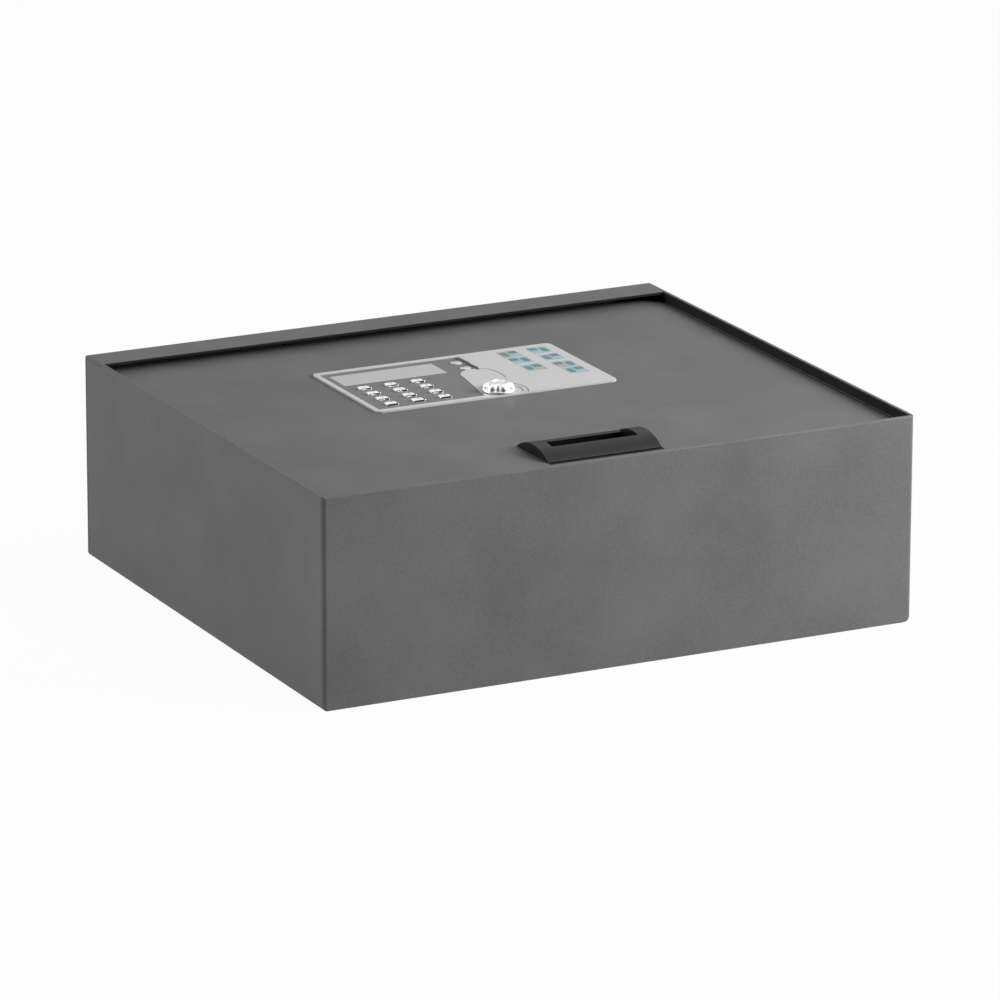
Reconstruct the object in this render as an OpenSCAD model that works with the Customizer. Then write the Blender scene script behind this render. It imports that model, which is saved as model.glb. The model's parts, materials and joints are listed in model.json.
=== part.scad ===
/* [Body] */
// Width of the body from side to side
body_w = 400; // [394:1:440]
// Depth of the body from front to back
body_d = 350; // [344:1:400]
// Height of the body from its base to the rim
body_h = 132; // [128:1:180]
// Thickness of the folded sheet of the base, the sides and the back
sheet_t = 2; // [1.5:0.1:2.4]
// Thickness of the front panel
front_t = 3; // [2.9:0.1:4]
// Outside radius of the fold along the left of the base
base_bend_r = 2.6; // [2.5:0.1:8]
// Outside radius of the fold along the right of the base
right_bend_r = 5.5; // [2.5:0.1:8]
// Outside radius of the fold along the top of the back
top_bend_r = 3; // [2.6:0.1:4]
// Radius on the upright edges of the front panel
front_edge_r = 2.9; // [1:0.1:2.9]
// Radius on the rim of the front panel
rim_r = 1.4; // [0.5:0.1:1.4]
// Depth of the flange that covers the hinges
flange_d = 25; // [22:0.5:32]
// Radius of the anchor holes in the base
anchor_r = 5; // [3:0.5:6]
// Distance between the anchor holes from side to side
anchor_dx = 260; // [200:5:320]
// Distance between the anchor holes from front to back
anchor_dy = 220; // [160:5:260]
// Thickness of the felt mat
mat_t = 3; // [2:0.5:5]

/* [Lid] */
// Thickness of the lid plate
lid_t = 4; // [3:0.5:5]
// Depth of the lid's top below the rim
lid_drop = 7; // [7:0.5:9]
// Gap between the lid and the walls
lid_gap = 1.5; // [1:0.1:2.5]
// Reach of the lid under the rear flange
lid_tuck = 10; // [1:0.5:12]
// Depth of the front ledge from front to back
ledge_d = 16; // [13:0.5:17]
// Width of each side ledge
side_ledge_w = 10; // [8:0.5:14]
// Height of the ledges' upright legs
ledge_leg = 14; // [8:1:20]
// Thickness of the ledges
ledge_t = 2; // [1.5:0.1:2.5]
// Height of the rubber buffers between ledge and lid
buffer_h = 1.9; // [1.5:0.1:3]

/* [Hinges] */
// Radius of the hinge pins
pin_r = 3; // [2:0.1:3.4]
// Outside radius of the hinge knuckles
knuckle_r = 5; // [4.6:0.1:6]
// Length of each knuckle
knuckle_l = 24; // [16:1:32]
// Distance between the two hinges
hinge_dx = 260; // [254:1:300]
// Thickness of the bracket plates
ear_t = 3; // [2:0.5:4]
// Reach of each hinge leaf under the lid
leaf_l = 50; // [30:1:60]

/* [Fascia and keys] */
// Width of the fascia
fascia_w = 167; // [165:0.5:180]
// Length of the fascia from front to back
fascia_l = 96; // [93:0.5:104]
// Thickness of the fascia
fascia_t = 1.2; // [1:0.1:1.4]
// Radius of the fascia's corners
fascia_r = 4; // [2:0.5:8]
// Fascia centre, to the right of the middle of the body
fascia_x = 0.5; // [-4:0.5:4]
// Fascia centre, behind the middle of the body
fascia_y = 42; // [38:0.5:44]
// Width of a number key
key_w = 8.5; // [7:0.1:9.5]
// Length of a number key from front to back
key_l = 5.5; // [4.5:0.1:7]
// Distance between number keys from side to side
key_dx = 18.4; // [17:0.1:19]
// Distance between number keys from front to back
key_dy = 12.9; // [11:0.1:13]
// Height of the number keys over the fascia
key_rise = 1.4; // [0.8:0.1:1.8]
// Travel of every key
key_travel = 1; // [0.5:0.1:1.1]
// Width of the display window
window_w = 71.4; // [60:0.1:72]
// Length of the display window from front to back
window_l = 23; // [16:0.5:23.5]

/* [Knob and lock] */
// Radius of the knob's skirt
knob_r = 10.7; // [9.5:0.1:11]
// Height of the knob
knob_h = 5.5; // [5:0.1:5.5]
// Radius of the knob's spindle
spindle_r = 4; // [3:0.1:4.4]
// Turn of the knob from open to locked, in degrees
knob_turn = 90; // [75:5:90]
// Pitch radius of the pinion
pitch_r = 9; // [8.4:0.1:9]
// Teeth of the pinion
pinion_teeth = 12; // [12:1:14]
// Radius of the two lock bolts
bolt_r = 5; // [4:0.1:5.5]
// Distance between the two lock bolts
bolt_dx = 140; // [130:1:160]
// Width of the lock cover
cover_w = 220; // [214:1:224]
// Depth of the lock cover below the lid plate
cover_h = 29; // [28:0.5:32]
// Thickness of the lock cover's sheet
cover_t = 1.5; // [1:0.1:2]

/* [Pull handle] */
// Width of the handle
handle_w = 77; // [74:0.5:90]
// Length of the handle from front to back
handle_l = 43; // [41:0.5:45]
// Height of the handle's arch over the lid
handle_rise = 6.5; // [6:0.1:7]
// Handle centre, to the right of the middle of the body
handle_x = 1.2; // [-6:0.1:6]
// Distance from the inside of the front panel to the handle
handle_inset = 23.8; // [23:0.1:27]
// Width of the finger slot
slot_w = 58.5; // [50:0.5:60]
// Distance from the handle's front edge to the slot
slot_front = 14; // [13:0.5:17]
// Thickness of the handle's rear lip
lip_t = 8.6; // [6:0.1:9]

/* [Batteries] */
// Radius of a battery
battery_r = 7.1; // [6.8:0.05:7.2]
// Length of a battery
battery_l = 50.5; // [49:0.1:51]

/* [Hidden] */
$fn = 64;

// Running clearance of a pin in its bore, and play between sliding pieces
run_clear = 0.05;
seat_clear = 0.02;
play = 0.3;

// Planes of the body
front_in = -body_d / 2 + front_t;
rear_in = body_d / 2 - sheet_t;
side_in = body_w / 2 - sheet_t;
lid_top = body_h - lid_drop;
lid_bot = lid_top - lid_t;
flange_y = body_d / 2 - flange_d;
mat_clear = 1;
mat_hole_r = anchor_r + 4;

// Lid and hinge axis: the open lid stands just in front of the flange
hinge_clear = 1;
hinge_y = flange_y - hinge_clear - knuckle_r - lid_t;
hinge_z = lid_bot - knuckle_r;
lid_front = front_in + lid_gap;
lid_rear = flange_y + lid_tuck;
lid_corner_r = 2;
leaf_t = 2;
ear_r = knuckle_r - play;
ear_gap = 0.2;
sweep_r = sqrt(pow(lid_rear - hinge_y, 2) + pow(knuckle_r + lid_t, 2));
foot_h = 10;
foot_top = hinge_z - sweep_r - 1.5;
foot_bot = foot_top - foot_h;
bracket_drop = 10;
bracket_w = knuckle_l + 2 * (ear_gap + ear_t) + 12;
pin_head_r = knuckle_r - 0.6;
pin_head_t = 1.5;

// Ledges and buffers
buffer_gap = 0.1;
ledge_top = lid_bot - buffer_h - buffer_gap;
ledge_under = ledge_top - ledge_t;
ledge_short = 30;
ledge_end = hinge_y - ledge_short;
ledge_join = 0.5;
front_buffer_x = 150;
front_buffer_r = 4;
side_buffer_y = 80;
side_buffer_r = 3.2;

// Dust seal on the inside of the walls, over the lid
seal_t = 0.4;
seal_bot = lid_top + 0.5;
seal_top = body_h - 0.5;

// Fascia, with its dark zone, window and keys placed from the fascia's centre
fascia_top = lid_top + fascia_t;
recess_d = 0.5;
overlay_t = 0.2;
zone_w = 97.3;
zone_l = 86.8;
zone_dx = -31.45;
zone_dy = 0;
zone_left = fascia_x + zone_dx - zone_w / 2;
zone_right = zone_left + zone_w;
zone_front = fascia_y + zone_dy - zone_l / 2;
window_dx = -40.5;
window_dy = 25.9;
window_x = fascia_x + window_dx;
window_y = fascia_y + window_dy;
hole_clear = 0.2;
first_key_dx = -68;
first_key_dy = 2.8;
key_x = fascia_x + first_key_dx;
key_y = fascia_y + first_key_dy;
key_r = 1.2;
key_crown = 1;
key_flange = 1;
key_flange_t = 1.5;
fkey_right = 9.3;
fkey_behind = 31;
fkey_x = fascia_x + fkey_right;
fkey_y = fascia_y + fkey_behind;
fkey_dy = 13.4;
fkey_w = 7.4;
fkey_l = 5.6;
fkey_rise = 0.4;
key_cols = [for (i = [0:2]) key_x + i * key_dx];
key_rows = [for (i = [0:3]) key_y - i * key_dy];
fkey_rows = [fkey_y, fkey_y - fkey_dy];
key_floor = lid_top - play - key_flange_t;

// Housing opening: a tall field for the number keys and an arm for the display
field_margin = 7;
field_side = 10.5;
arm_margin = 8;
window_margin = 3;
field_left = key_cols[0] - field_side;
field_right = key_cols[2] + field_side;
field_front = key_rows[3] - field_margin;
field_rear = window_y + window_l / 2 + window_margin;
arm_right = fkey_x + arm_margin;
arm_front = fkey_rows[1] - arm_margin;
housing_t = 1.5;
housing_clear = 0.3;
housing_top = lid_top - 0.2;
housing_bot = lid_bot - 4.5;
flange_w = 5;
flange_t = 2;
board_t = 1.6;
board_bot = housing_bot + housing_t + 0.1;
membrane_bot = board_bot + board_t + 0.1;
membrane_t = 0.8;
dome_r = 3;
dome_top = key_floor - key_travel - play;
screw_r = 1.25;
screw_head_r = 2.3;
screw_head_t = 1.5;

// Knob, spindle, pinion and rack
knob_x = fascia_x + 5.3;
knob_y = fascia_y - fascia_l / 2 + knob_r + 0.3;
light_r = 12;
light_x = knob_x + 6;
light_y = knob_y + 38.8;
light_reach = 13;
knob_bot = fascia_top + 0.2;
knob_top = knob_bot + knob_h;
skirt_h = 1.3;
lobes = 6;
lobe_r = knob_r * 0.3;
lobe_at = knob_r * 0.625;
grip_r = knob_r * 0.71;
cap_r = 4.5;
cap_t = 0.8;
cap_drop = 0.2;
spindle_top = knob_top - cap_drop - cap_t - 1.4;
bush_r = spindle_r + 2;
bush_flange_r = bush_r + 2;
bush_flange_t = 3;
bolt_gap = 0.5;
bolt_z = ledge_under - bolt_gap - bolt_r;
gear_module = 2 * pitch_r / pinion_teeth;
pressure = 25;
base_r = pitch_r * cos(pressure);
addendum = 0.9 * gear_module;
dedendum = addendum + 0.4;
backlash = 0.08;
pinion_l = 8;
rack_h = 6;
rack_z = bolt_z - 3.5;
pinion_bot = rack_z - pinion_l / 2;
spindle_bot = pinion_bot - 4;
throw = pitch_r * knob_turn * PI / 180;
rack_line = knob_x + pitch_r;
rack_root = rack_line + dedendum;
rack_back = rack_root + 8;
rack_pitch = PI * gear_module;
rack_past = 24;
rack_rear = knob_y + rack_past;

// Bolts, carriage and their guides
bolt_tip = front_in + 18;
bolt_rear = -60;
bar_d = 10;
bar_h = 12;
bar_w = bolt_dx + 20;
spigot_r = bolt_r - 2;
guide_w = 2 * bolt_r + 8;
guide_d = 12;
guide_front = bolt_tip + 8;
guide_rear = bolt_rear - throw - guide_d - 6;
guide_bot = bolt_z - bolt_r - 3;
rest_y0 = knob_y - 5;
rest_d = 14;
rest_t = 4.5;
rest_lip_t = 1.7;

// Solenoid and plunger
coil_before = 30;
coil_y = knob_y - coil_before;
coil_r = 8;
coil_l = 24;
plate_t = 2;
coil_front = rack_back + 9.5;
plunger_r = 2;
plunger_gap = 0.5;
plunger_stroke = 3.5;
notch_d = plunger_stroke + 0.5;
notch_w = 2 * plunger_r + 1;
collar_r = 3.5;
collar_t = 1.5;

// Lock cover, its posts and screws
cover_bot = lid_bot - cover_h;
cover_floor = cover_bot + cover_t;
cover_front = bolt_tip + 4;
cover_behind = 55;
cover_rear = fascia_y + cover_behind;
cover_top = lid_bot - 0.1;
post_r = 4;
post_in = cover_t + post_r + 1;
post_xs = [-cover_w / 2 + post_in, cover_w / 2 - post_in];
post_ys = [cover_front + post_in, cover_rear - post_in];
cover_screw_r = 1.7;
cover_screw_l = 12;
cover_head_r = 3.8;
cover_head_t = 2;

// Handle
handle_front = front_in + handle_inset;
handle_y = handle_front + handle_l / 2;
arch_r = (pow(handle_l / 2, 2) + pow(handle_rise, 2)) / (2 * handle_rise);
arch_z = lid_top + handle_rise - arch_r;
hood_t = 2.4;
cup_t = 1.6;
slot_y0 = handle_front + slot_front;
slot_y1 = handle_front + handle_l - lip_t;
pocket_y0 = handle_front + 4;
lip_rise = 2.5;
cup_bot = lid_bot - 8;
cup_clear = 0.3;
handle_screw_r = 1.5;
handle_screw_x = (slot_w + handle_w) / 4;
handle_head_r = 2.4;

// Batteries, their holder and the sliding door
battery_gap = 1.3;
battery_dy = 2 * battery_r + battery_gap;
contact_l = 2.7;
contact_r = 2.6;
contact_plate_t = 0.5;
contact_plate_w = 10;
holder_t = 1.6;
holder_w = battery_l + 2 * (contact_l + contact_plate_t + holder_t);
holder_l = 4 * battery_dy + 2 * holder_t + 2;
holder_x = -cover_w / 2 + cover_t + 4.5 + holder_w / 2;
holder_behind = 41;
holder_y = knob_y + holder_behind;
holder_bot = cover_floor + 0.1;
battery_z = holder_bot + battery_r + 1;
holder_top = battery_z + battery_r + 0.2 + holder_t;
nub_l = 1.3;
nub_r = 2.75;
bay_w = holder_w - 2 * holder_t - 2;
bay_l = holder_l - 2 * holder_t - 2;
door_t = 1.5;
door_w = bay_w + 4;
door_l = bay_l + 2;
door_travel = 58;
door_top = cover_bot - play;
ridge_t = 1.4;
ridge_l = 24;
rail_t = 1.6;
rail_lip = 2;
rail_drop = door_t + 2 * play + rail_t;

// Wiring
wire_r = 1.5;
loom_y = -42;
loom_x = -36;
loom_z = lid_bot - 6.5;
loom_start = 28;

// Extrudes a section drawn in Y and Z along X, centred
module along_x(length) {
    translate([-length / 2, 0, 0]) rotate([90, 0, 90]) linear_extrude(length) children();
}

// Extrudes a section drawn in X and Z along Y, from y0 to y1
module along_y(y0, y1) {
    translate([0, y1, 0]) rotate([90, 0, 0]) linear_extrude(y1 - y0) children();
}

module round_rect(w, l, r) {
    square([w - 2 * r, l], center = true);
    square([w, l - 2 * r], center = true);
    for (x = [-1, 1], y = [-1, 1]) translate([x * (w / 2 - r), y * (l / 2 - r)]) circle(r);
}

// Front view of the body, rounded where the sheet folds up from the base
module body_outline(inset) {
    left = base_bend_r - inset;
    right = right_bend_r - inset;
    x = body_w / 2 - inset;
    translate([left - x, inset + left]) circle(left);
    translate([x - right, inset + right]) circle(right);
    translate([left - x, inset]) square([2 * x - left - right, body_h - inset]);
    translate([-x, inset + left]) square([x, body_h - inset - left]);
    translate([0, inset + right]) square([x, body_h - inset - right]);
}

// The base and both sides, folded from one sheet
module body_shell() {
    color("dimgray")
    difference() {
        along_y(front_in, rear_in) body_outline(0);
        along_y(front_in - 1, rear_in + 1) union() {
            body_outline(sheet_t);
            translate([-side_in, body_h - 1]) square([2 * side_in, 2]);
        }
        translate([-body_w / 2 - 1, flange_y, body_h - sheet_t]) cube([body_w + 2, body_d, body_h]);
        for (x = [-1, 1], y = [-1, 1])
            translate([x * anchor_dx / 2, y * anchor_dy / 2, -1]) cylinder(r = anchor_r, h = sheet_t + 2);
    }
}

module front_panel() {
    color("dimgray")
    intersection() {
        along_y(-body_d / 2, front_in) body_outline(0);
        linear_extrude(body_h) union() {
            translate([-body_w / 2 + front_edge_r, -body_d / 2])
                square([body_w - 2 * front_edge_r, front_t]);
            translate([-body_w / 2, -body_d / 2 + front_edge_r]) square([body_w, front_t - front_edge_r]);
            for (s = [-1, 1])
                intersection() {
                    translate([s * (body_w / 2 - front_edge_r), -body_d / 2 + front_edge_r])
                        circle(front_edge_r);
                    translate([-body_w / 2, -body_d / 2]) square([body_w, front_t]);
                }
        }
        along_x(body_w) union() {
            translate([-body_d / 2, 0]) square([front_t, body_h - rim_r]);
            translate([-body_d / 2 + rim_r, 0]) square([front_t - 2 * rim_r, body_h]);
            for (y = [-body_d / 2 + rim_r, front_in - rim_r]) translate([y, body_h - rim_r]) circle(rim_r);
        }
    }
}

// The back, folded forward at the top into the flange over the hinges
module rear_panel() {
    color("dimgray")
    intersection() {
        along_y(flange_y, body_d / 2) body_outline(0);
        along_x(body_w) union() {
            translate([rear_in, 0]) square([sheet_t, body_h - top_bend_r]);
            translate([flange_y, body_h - sheet_t]) square([flange_d - top_bend_r, sheet_t]);
            intersection() {
                translate([body_d / 2 - top_bend_r, body_h - top_bend_r]) difference() {
                    circle(top_bend_r);
                    circle(top_bend_r - sheet_t);
                }
                translate([body_d / 2 - top_bend_r, body_h - top_bend_r]) square([top_bend_r, top_bend_r]);
            }
        }
    }
}

// The angle that the lid closes on and that the bolts catch under
module front_ledge() {
    color("dimgray") {
        translate([-side_in, front_in, ledge_top - ledge_leg]) cube([2 * side_in, ledge_t, ledge_leg]);
        translate([-side_in, front_in, ledge_under]) cube([2 * side_in, ledge_d, ledge_t]);
    }
}

module side_ledge(s) {
    y0 = front_in + ledge_d + ledge_join;
    color("dimgray") {
        translate([s > 0 ? side_in - ledge_t : -side_in, y0, ledge_top - ledge_leg])
            cube([ledge_t, ledge_end - y0, ledge_leg]);
        translate([s > 0 ? side_in - side_ledge_w : -side_in, y0, ledge_under])
            cube([side_ledge_w, ledge_end - y0, ledge_t]);
    }
}

module left_ledge() {
    side_ledge(-1);
}

module right_ledge() {
    side_ledge(1);
}

module lid_buffers() {
    color("black")
    for (s = [-1, 1]) {
        translate([s * front_buffer_x, front_in + ledge_d / 2, ledge_top])
            cylinder(r = front_buffer_r, h = buffer_h);
        translate([s * (side_in - side_ledge_w / 2), side_buffer_y, ledge_top])
            cylinder(r = side_buffer_r, h = buffer_h);
    }
}

// A rubber strip on the inside of the walls and on the edge of the flange
module dust_seal() {
    color("black") {
        translate([-side_in, front_in, seal_bot]) cube([2 * side_in, seal_t, body_h - rim_r - seal_bot]);
        for (s = [-1, 1])
            translate([s > 0 ? side_in - seal_t : -side_in, front_in, seal_bot])
                cube([seal_t, flange_y - front_in, seal_top - seal_bot]);
        translate([-side_in, flange_y - seal_t, body_h - sheet_t])
            cube([2 * side_in, seal_t, seal_top - body_h + sheet_t]);
    }
}

module floor_mat() {
    left = side_in - (base_bend_r - sheet_t);
    right = side_in - (right_bend_r - sheet_t);
    color("darkslategray")
    difference() {
        translate([-left, front_in + mat_clear, sheet_t])
            cube([left + right, rear_in - front_in - 2 * mat_clear, mat_t]);
        for (x = [-1, 1], y = [-1, 1])
            translate([x * anchor_dx / 2, y * anchor_dy / 2, sheet_t - 1])
                cylinder(r = mat_hole_r, h = mat_t + 2);
    }
}

module hinge_bracket(s) {
    color("gray")
    translate([s * hinge_dx / 2, 0, 0]) {
        for (e = [-1, 1])
            translate([e * (knuckle_l / 2 + ear_gap + ear_t / 2), 0, 0])
                along_x(ear_t) difference() {
                    union() {
                        translate([hinge_y, hinge_z]) circle(ear_r);
                        translate([hinge_y - ear_r, foot_bot]) square([2 * ear_r, hinge_z - foot_bot]);
                        translate([hinge_y - ear_r, foot_bot]) square([rear_in - hinge_y + ear_r, foot_h]);
                    }
                    translate([hinge_y, hinge_z]) circle(pin_r + seat_clear);
                }
        translate([-bracket_w / 2, rear_in - ear_t, foot_bot - bracket_drop])
            cube([bracket_w, ear_t, foot_h + bracket_drop]);
    }
}

module left_hinge_bracket() {
    hinge_bracket(-1);
}

module right_hinge_bracket() {
    hinge_bracket(1);
}

module hinge_pins() {
    reach = knuckle_l / 2 + ear_gap + ear_t;
    color("silver")
    for (s = [-1, 1])
        translate([s * hinge_dx / 2, hinge_y, hinge_z]) rotate([0, s * 90, 0]) {
            translate([0, 0, -reach - 2]) cylinder(r = pin_r, h = 2 * reach + 2.2);
            translate([0, 0, reach + 0.2]) cylinder(r = pin_head_r, h = pin_head_t);
        }
}

// The opening in the lid that takes the keypad housing, drawn smaller by inset
module housing_outline(inset) {
    translate([field_left + inset, field_front + inset])
        square([field_right - field_left - 2 * inset, field_rear - field_front - 2 * inset]);
    translate([field_left + inset, arm_front + inset])
        square([arm_right - field_left - 2 * inset, field_rear - arm_front - 2 * inset]);
}

function housing_screw_places() = [
    [field_left - flange_w / 2, field_front + 12],
    [field_left - flange_w / 2, field_rear - 12],
    [field_right + flange_w / 2, field_front + 12],
    [arm_right + flange_w / 2, field_rear - 12]
];

module cup_outline(grow) {
    translate([handle_x - slot_w / 2 - cup_t - grow, pocket_y0 - cup_t - grow])
        square([slot_w + 2 * (cup_t + grow), slot_y1 - pocket_y0 + 2 * (cup_t + grow)]);
}

module lid_plate() {
    w = 2 * (side_in - lid_gap);
    l = lid_rear - lid_front;
    color("dimgray")
    translate([0, 0, lid_bot]) difference() {
        translate([0, (lid_front + lid_rear) / 2, 0]) linear_extrude(lid_t) round_rect(w, l, lid_corner_r);
        translate([0, 0, -1]) linear_extrude(lid_t + 2) {
            housing_outline(0);
            cup_outline(cup_clear);
        }
        translate([knob_x, knob_y, -1]) cylinder(r = bush_r + seat_clear, h = lid_t + 2);
        for (p = housing_screw_places())
            translate([p[0], p[1], -1]) cylinder(r = screw_r + seat_clear, h = lid_t + 2);
        for (s = [-1, 1])
            translate([handle_x + s * handle_screw_x, handle_y, -1])
                cylinder(r = handle_screw_r + 0.2, h = lid_t + 2);
    }
}

module hinge_leaf(s) {
    color("gray")
    translate([s * hinge_dx / 2, 0, 0]) along_x(knuckle_l) difference() {
        union() {
            translate([hinge_y, hinge_z]) circle(knuckle_r);
            translate([hinge_y - leaf_l, lid_bot - leaf_t]) square([leaf_l, leaf_t]);
        }
        translate([hinge_y, hinge_z]) circle(pin_r + run_clear);
    }
}

module left_hinge_leaf() {
    hinge_leaf(-1);
}

module right_hinge_leaf() {
    hinge_leaf(1);
}

// The light field round the knob, left out of the dark keypad zone
module knob_field(grow) {
    r = light_r + grow;
    translate([light_x, light_y]) circle(r);
    polygon([
        [light_x, light_y + r], [light_x - r, light_y - 1],
        [knob_x - light_reach - grow, zone_front - 1], [zone_right + 1, zone_front - 1],
        [zone_right + 1, light_y + r]
    ]);
}

module zone_outline(inset) {
    difference() {
        translate([zone_left + inset, zone_front + inset])
            square([zone_w - 2 * inset, zone_l - 2 * inset]);
        knob_field(inset);
    }
}

// Holes for the keys and the display window, larger than the pieces by grow
module key_holes(grow) {
    for (x = key_cols, y = key_rows)
        translate([x, y]) round_rect(key_w + 2 * grow, key_l + 2 * grow, key_r + grow);
    for (y = fkey_rows)
        translate([fkey_x, y]) round_rect(fkey_w + 2 * grow, fkey_l + 2 * grow, fkey_l / 2 - 0.1 + grow);
    translate([window_x, window_y]) round_rect(window_w, window_l, 1);
}

module fascia() {
    color("silver")
    difference() {
        translate([fascia_x, fascia_y, lid_top]) linear_extrude(fascia_t)
            round_rect(fascia_w, fascia_l, fascia_r);
        translate([0, 0, fascia_top - recess_d]) linear_extrude(1) zone_outline(0);
        translate([0, 0, lid_top - 1]) linear_extrude(3) key_holes(hole_clear);
        translate([knob_x, knob_y, lid_top - 1]) cylinder(r = spindle_r + 0.5, h = 3);
    }
}

module keypad_overlay() {
    color("gray")
    translate([0, 0, fascia_top - recess_d]) linear_extrude(overlay_t) difference() {
        zone_outline(0.1);
        key_holes(hole_clear);
    }
}

module display_window() {
    color("lightgray")
    translate([window_x, window_y, lid_top + 0.1]) linear_extrude(fascia_t - 0.3)
        round_rect(window_w - 0.2, window_l - 0.2, 0.9);
}

module display_module() {
    color("darkslategray")
    translate([window_x, window_y, membrane_bot]) linear_extrude(lid_top - 0.1 - membrane_bot)
        square([window_w - 3, window_l - 3], center = true);
}

module keypad_housing() {
    color("dimgray")
    difference() {
        union() {
            translate([0, 0, housing_bot]) linear_extrude(housing_top - housing_bot)
                housing_outline(housing_clear);
            translate([0, 0, lid_bot - flange_t]) linear_extrude(flange_t) housing_outline(-flange_w);
        }
        translate([0, 0, housing_bot + housing_t]) linear_extrude(housing_top)
            housing_outline(housing_clear + housing_t);
        for (p = housing_screw_places())
            translate([p[0], p[1], housing_bot])
                cylinder(r = screw_r + hole_clear, h = lid_top - housing_bot);
    }
}

module housing_screws() {
    color("silver")
    for (p = housing_screw_places())
        translate([p[0], p[1], lid_bot - flange_t - screw_head_t]) {
            cylinder(r = screw_head_r, h = screw_head_t);
            cylinder(r = screw_r, h = screw_head_t + flange_t + lid_t - 0.5);
        }
}

// One rubber pad with a dome under each key of its group
module keypad_membrane() {
    front = field_front + housing_clear + housing_t + 0.3;
    color("lightgray")
    translate([0, 0, membrane_bot]) {
        translate([field_left + 2.4, front, 0])
            cube([field_right - field_left - 4.8, key_rows[0] + dome_r + 2 - front, membrane_t]);
        translate([fkey_x - dome_r - 1, fkey_rows[1] - dome_r - 1, 0])
            cube([2 * dome_r + 2, fkey_dy + 2 * dome_r + 2, membrane_t]);
        for (x = key_cols, y = key_rows)
            translate([x, y, 0]) cylinder(r = dome_r, h = dome_top - membrane_bot);
        for (y = fkey_rows)
            translate([fkey_x, y, 0]) cylinder(r = dome_r, h = dome_top - membrane_bot);
    }
}

module circuit_board() {
    color("green")
    translate([0, 0, board_bot]) linear_extrude(board_t)
        housing_outline(housing_clear + housing_t + 0.3);
}

// The arch over the lid, with a cup below it for the fingers
module pull_handle() {
    color("black")
    difference() {
        union() {
            intersection() {
                translate([handle_x, 0, 0]) along_x(handle_w) translate([handle_y, arch_z])
                    circle(arch_r, $fn = 128);
                translate([handle_x - handle_w, handle_y - handle_l, lid_top])
                    cube([2 * handle_w, 2 * handle_l, arch_r]);
            }
            translate([0, 0, cup_bot]) linear_extrude(lid_top - cup_bot) cup_outline(0);
        }
        intersection() {
            translate([handle_x, 0, 0]) along_x(slot_w) translate([handle_y, arch_z])
                circle(arch_r - hood_t, $fn = 128);
            translate([handle_x - slot_w, pocket_y0, cup_bot + cup_t])
                cube([2 * slot_w, slot_y1 - pocket_y0, arch_r]);
        }
        translate([handle_x - slot_w / 2, slot_y0, cup_bot + cup_t])
            cube([slot_w, slot_y1 - slot_y0, arch_r]);
        translate([handle_x - slot_w / 2, slot_y1 - 1, lid_top + lip_rise])
            cube([slot_w, lip_t + 2, handle_rise]);
        for (s = [-1, 1])
            translate([handle_x + s * handle_screw_x, handle_y, lid_top - 1])
                cylinder(r = handle_screw_r + seat_clear, h = handle_rise - 1.5);
    }
}

module handle_screws() {
    color("silver")
    for (s = [-1, 1])
        translate([handle_x + s * handle_screw_x, handle_y, lid_bot - screw_head_t]) {
            cylinder(r = handle_head_r, h = screw_head_t);
            cylinder(r = handle_screw_r, h = screw_head_t + lid_t + handle_rise - 3);
        }
}

// The tray under the lid, with slots for the bolts and rails for the battery door
module lock_cover() {
    rail_x0 = holder_x - door_w / 2 - 1;
    rail_x1 = holder_x + door_w / 2 + door_travel + 1;
    color("slategray") {
        difference() {
            translate([-cover_w / 2, cover_front, cover_bot])
                cube([cover_w, cover_rear - cover_front, cover_top - cover_bot]);
            translate([-cover_w / 2 + cover_t, cover_front + cover_t, cover_floor])
                cube([cover_w - 2 * cover_t, cover_rear - cover_front - 2 * cover_t, cover_h]);
            for (s = [-1, 1])
                translate([s * bolt_dx / 2, cover_front - 1, bolt_z]) rotate([-90, 0, 0])
                    cylinder(r = bolt_r + 0.4, h = cover_t + 2);
            for (x = post_xs, y = post_ys)
                translate([x, y, cover_bot - 1]) cylinder(r = cover_screw_r + 0.3, h = cover_t + 2);
            translate([holder_x - bay_w / 2, holder_y - bay_l / 2, cover_bot - 1])
                cube([bay_w, bay_l, cover_t + 2]);
        }
        for (s = [-1, 1]) {
            wall = holder_y + s * (door_l / 2 + play + rail_t / 2);
            lip = holder_y + s * (door_l / 2 + play + rail_t - (rail_t + rail_lip) / 2);
            translate([rail_x0, wall - rail_t / 2, cover_bot - rail_drop])
                cube([rail_x1 - rail_x0, rail_t, rail_drop]);
            translate([rail_x0, lip - (rail_t + rail_lip) / 2, cover_bot - rail_drop])
                cube([rail_x1 - rail_x0, rail_t + rail_lip, rail_t]);
        }
    }
}

module cover_posts() {
    color("gray")
    for (x = post_xs, y = post_ys)
        translate([x, y, cover_floor + 0.1]) difference() {
            cylinder(r = post_r, h = lid_bot - cover_floor - 0.1);
            translate([0, 0, -1]) cylinder(r = cover_screw_r + seat_clear, h = cover_screw_l + 1);
        }
}

module cover_screws() {
    color("silver")
    for (x = post_xs, y = post_ys)
        translate([x, y, cover_bot - cover_head_t]) {
            cylinder(r = cover_head_r, h = cover_head_t);
            cylinder(r = cover_screw_r, h = cover_head_t + cover_screw_l);
        }
}

module spindle_bush() {
    color("goldenrod")
    translate([knob_x, knob_y, lid_bot - bush_flange_t]) difference() {
        union() {
            cylinder(r = bush_r, h = bush_flange_t + lid_t - 0.1);
            cylinder(r = bush_flange_r, h = bush_flange_t);
        }
        translate([0, 0, -1]) cylinder(r = spindle_r + run_clear, h = bush_flange_t + lid_t + 2);
    }
}

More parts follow.
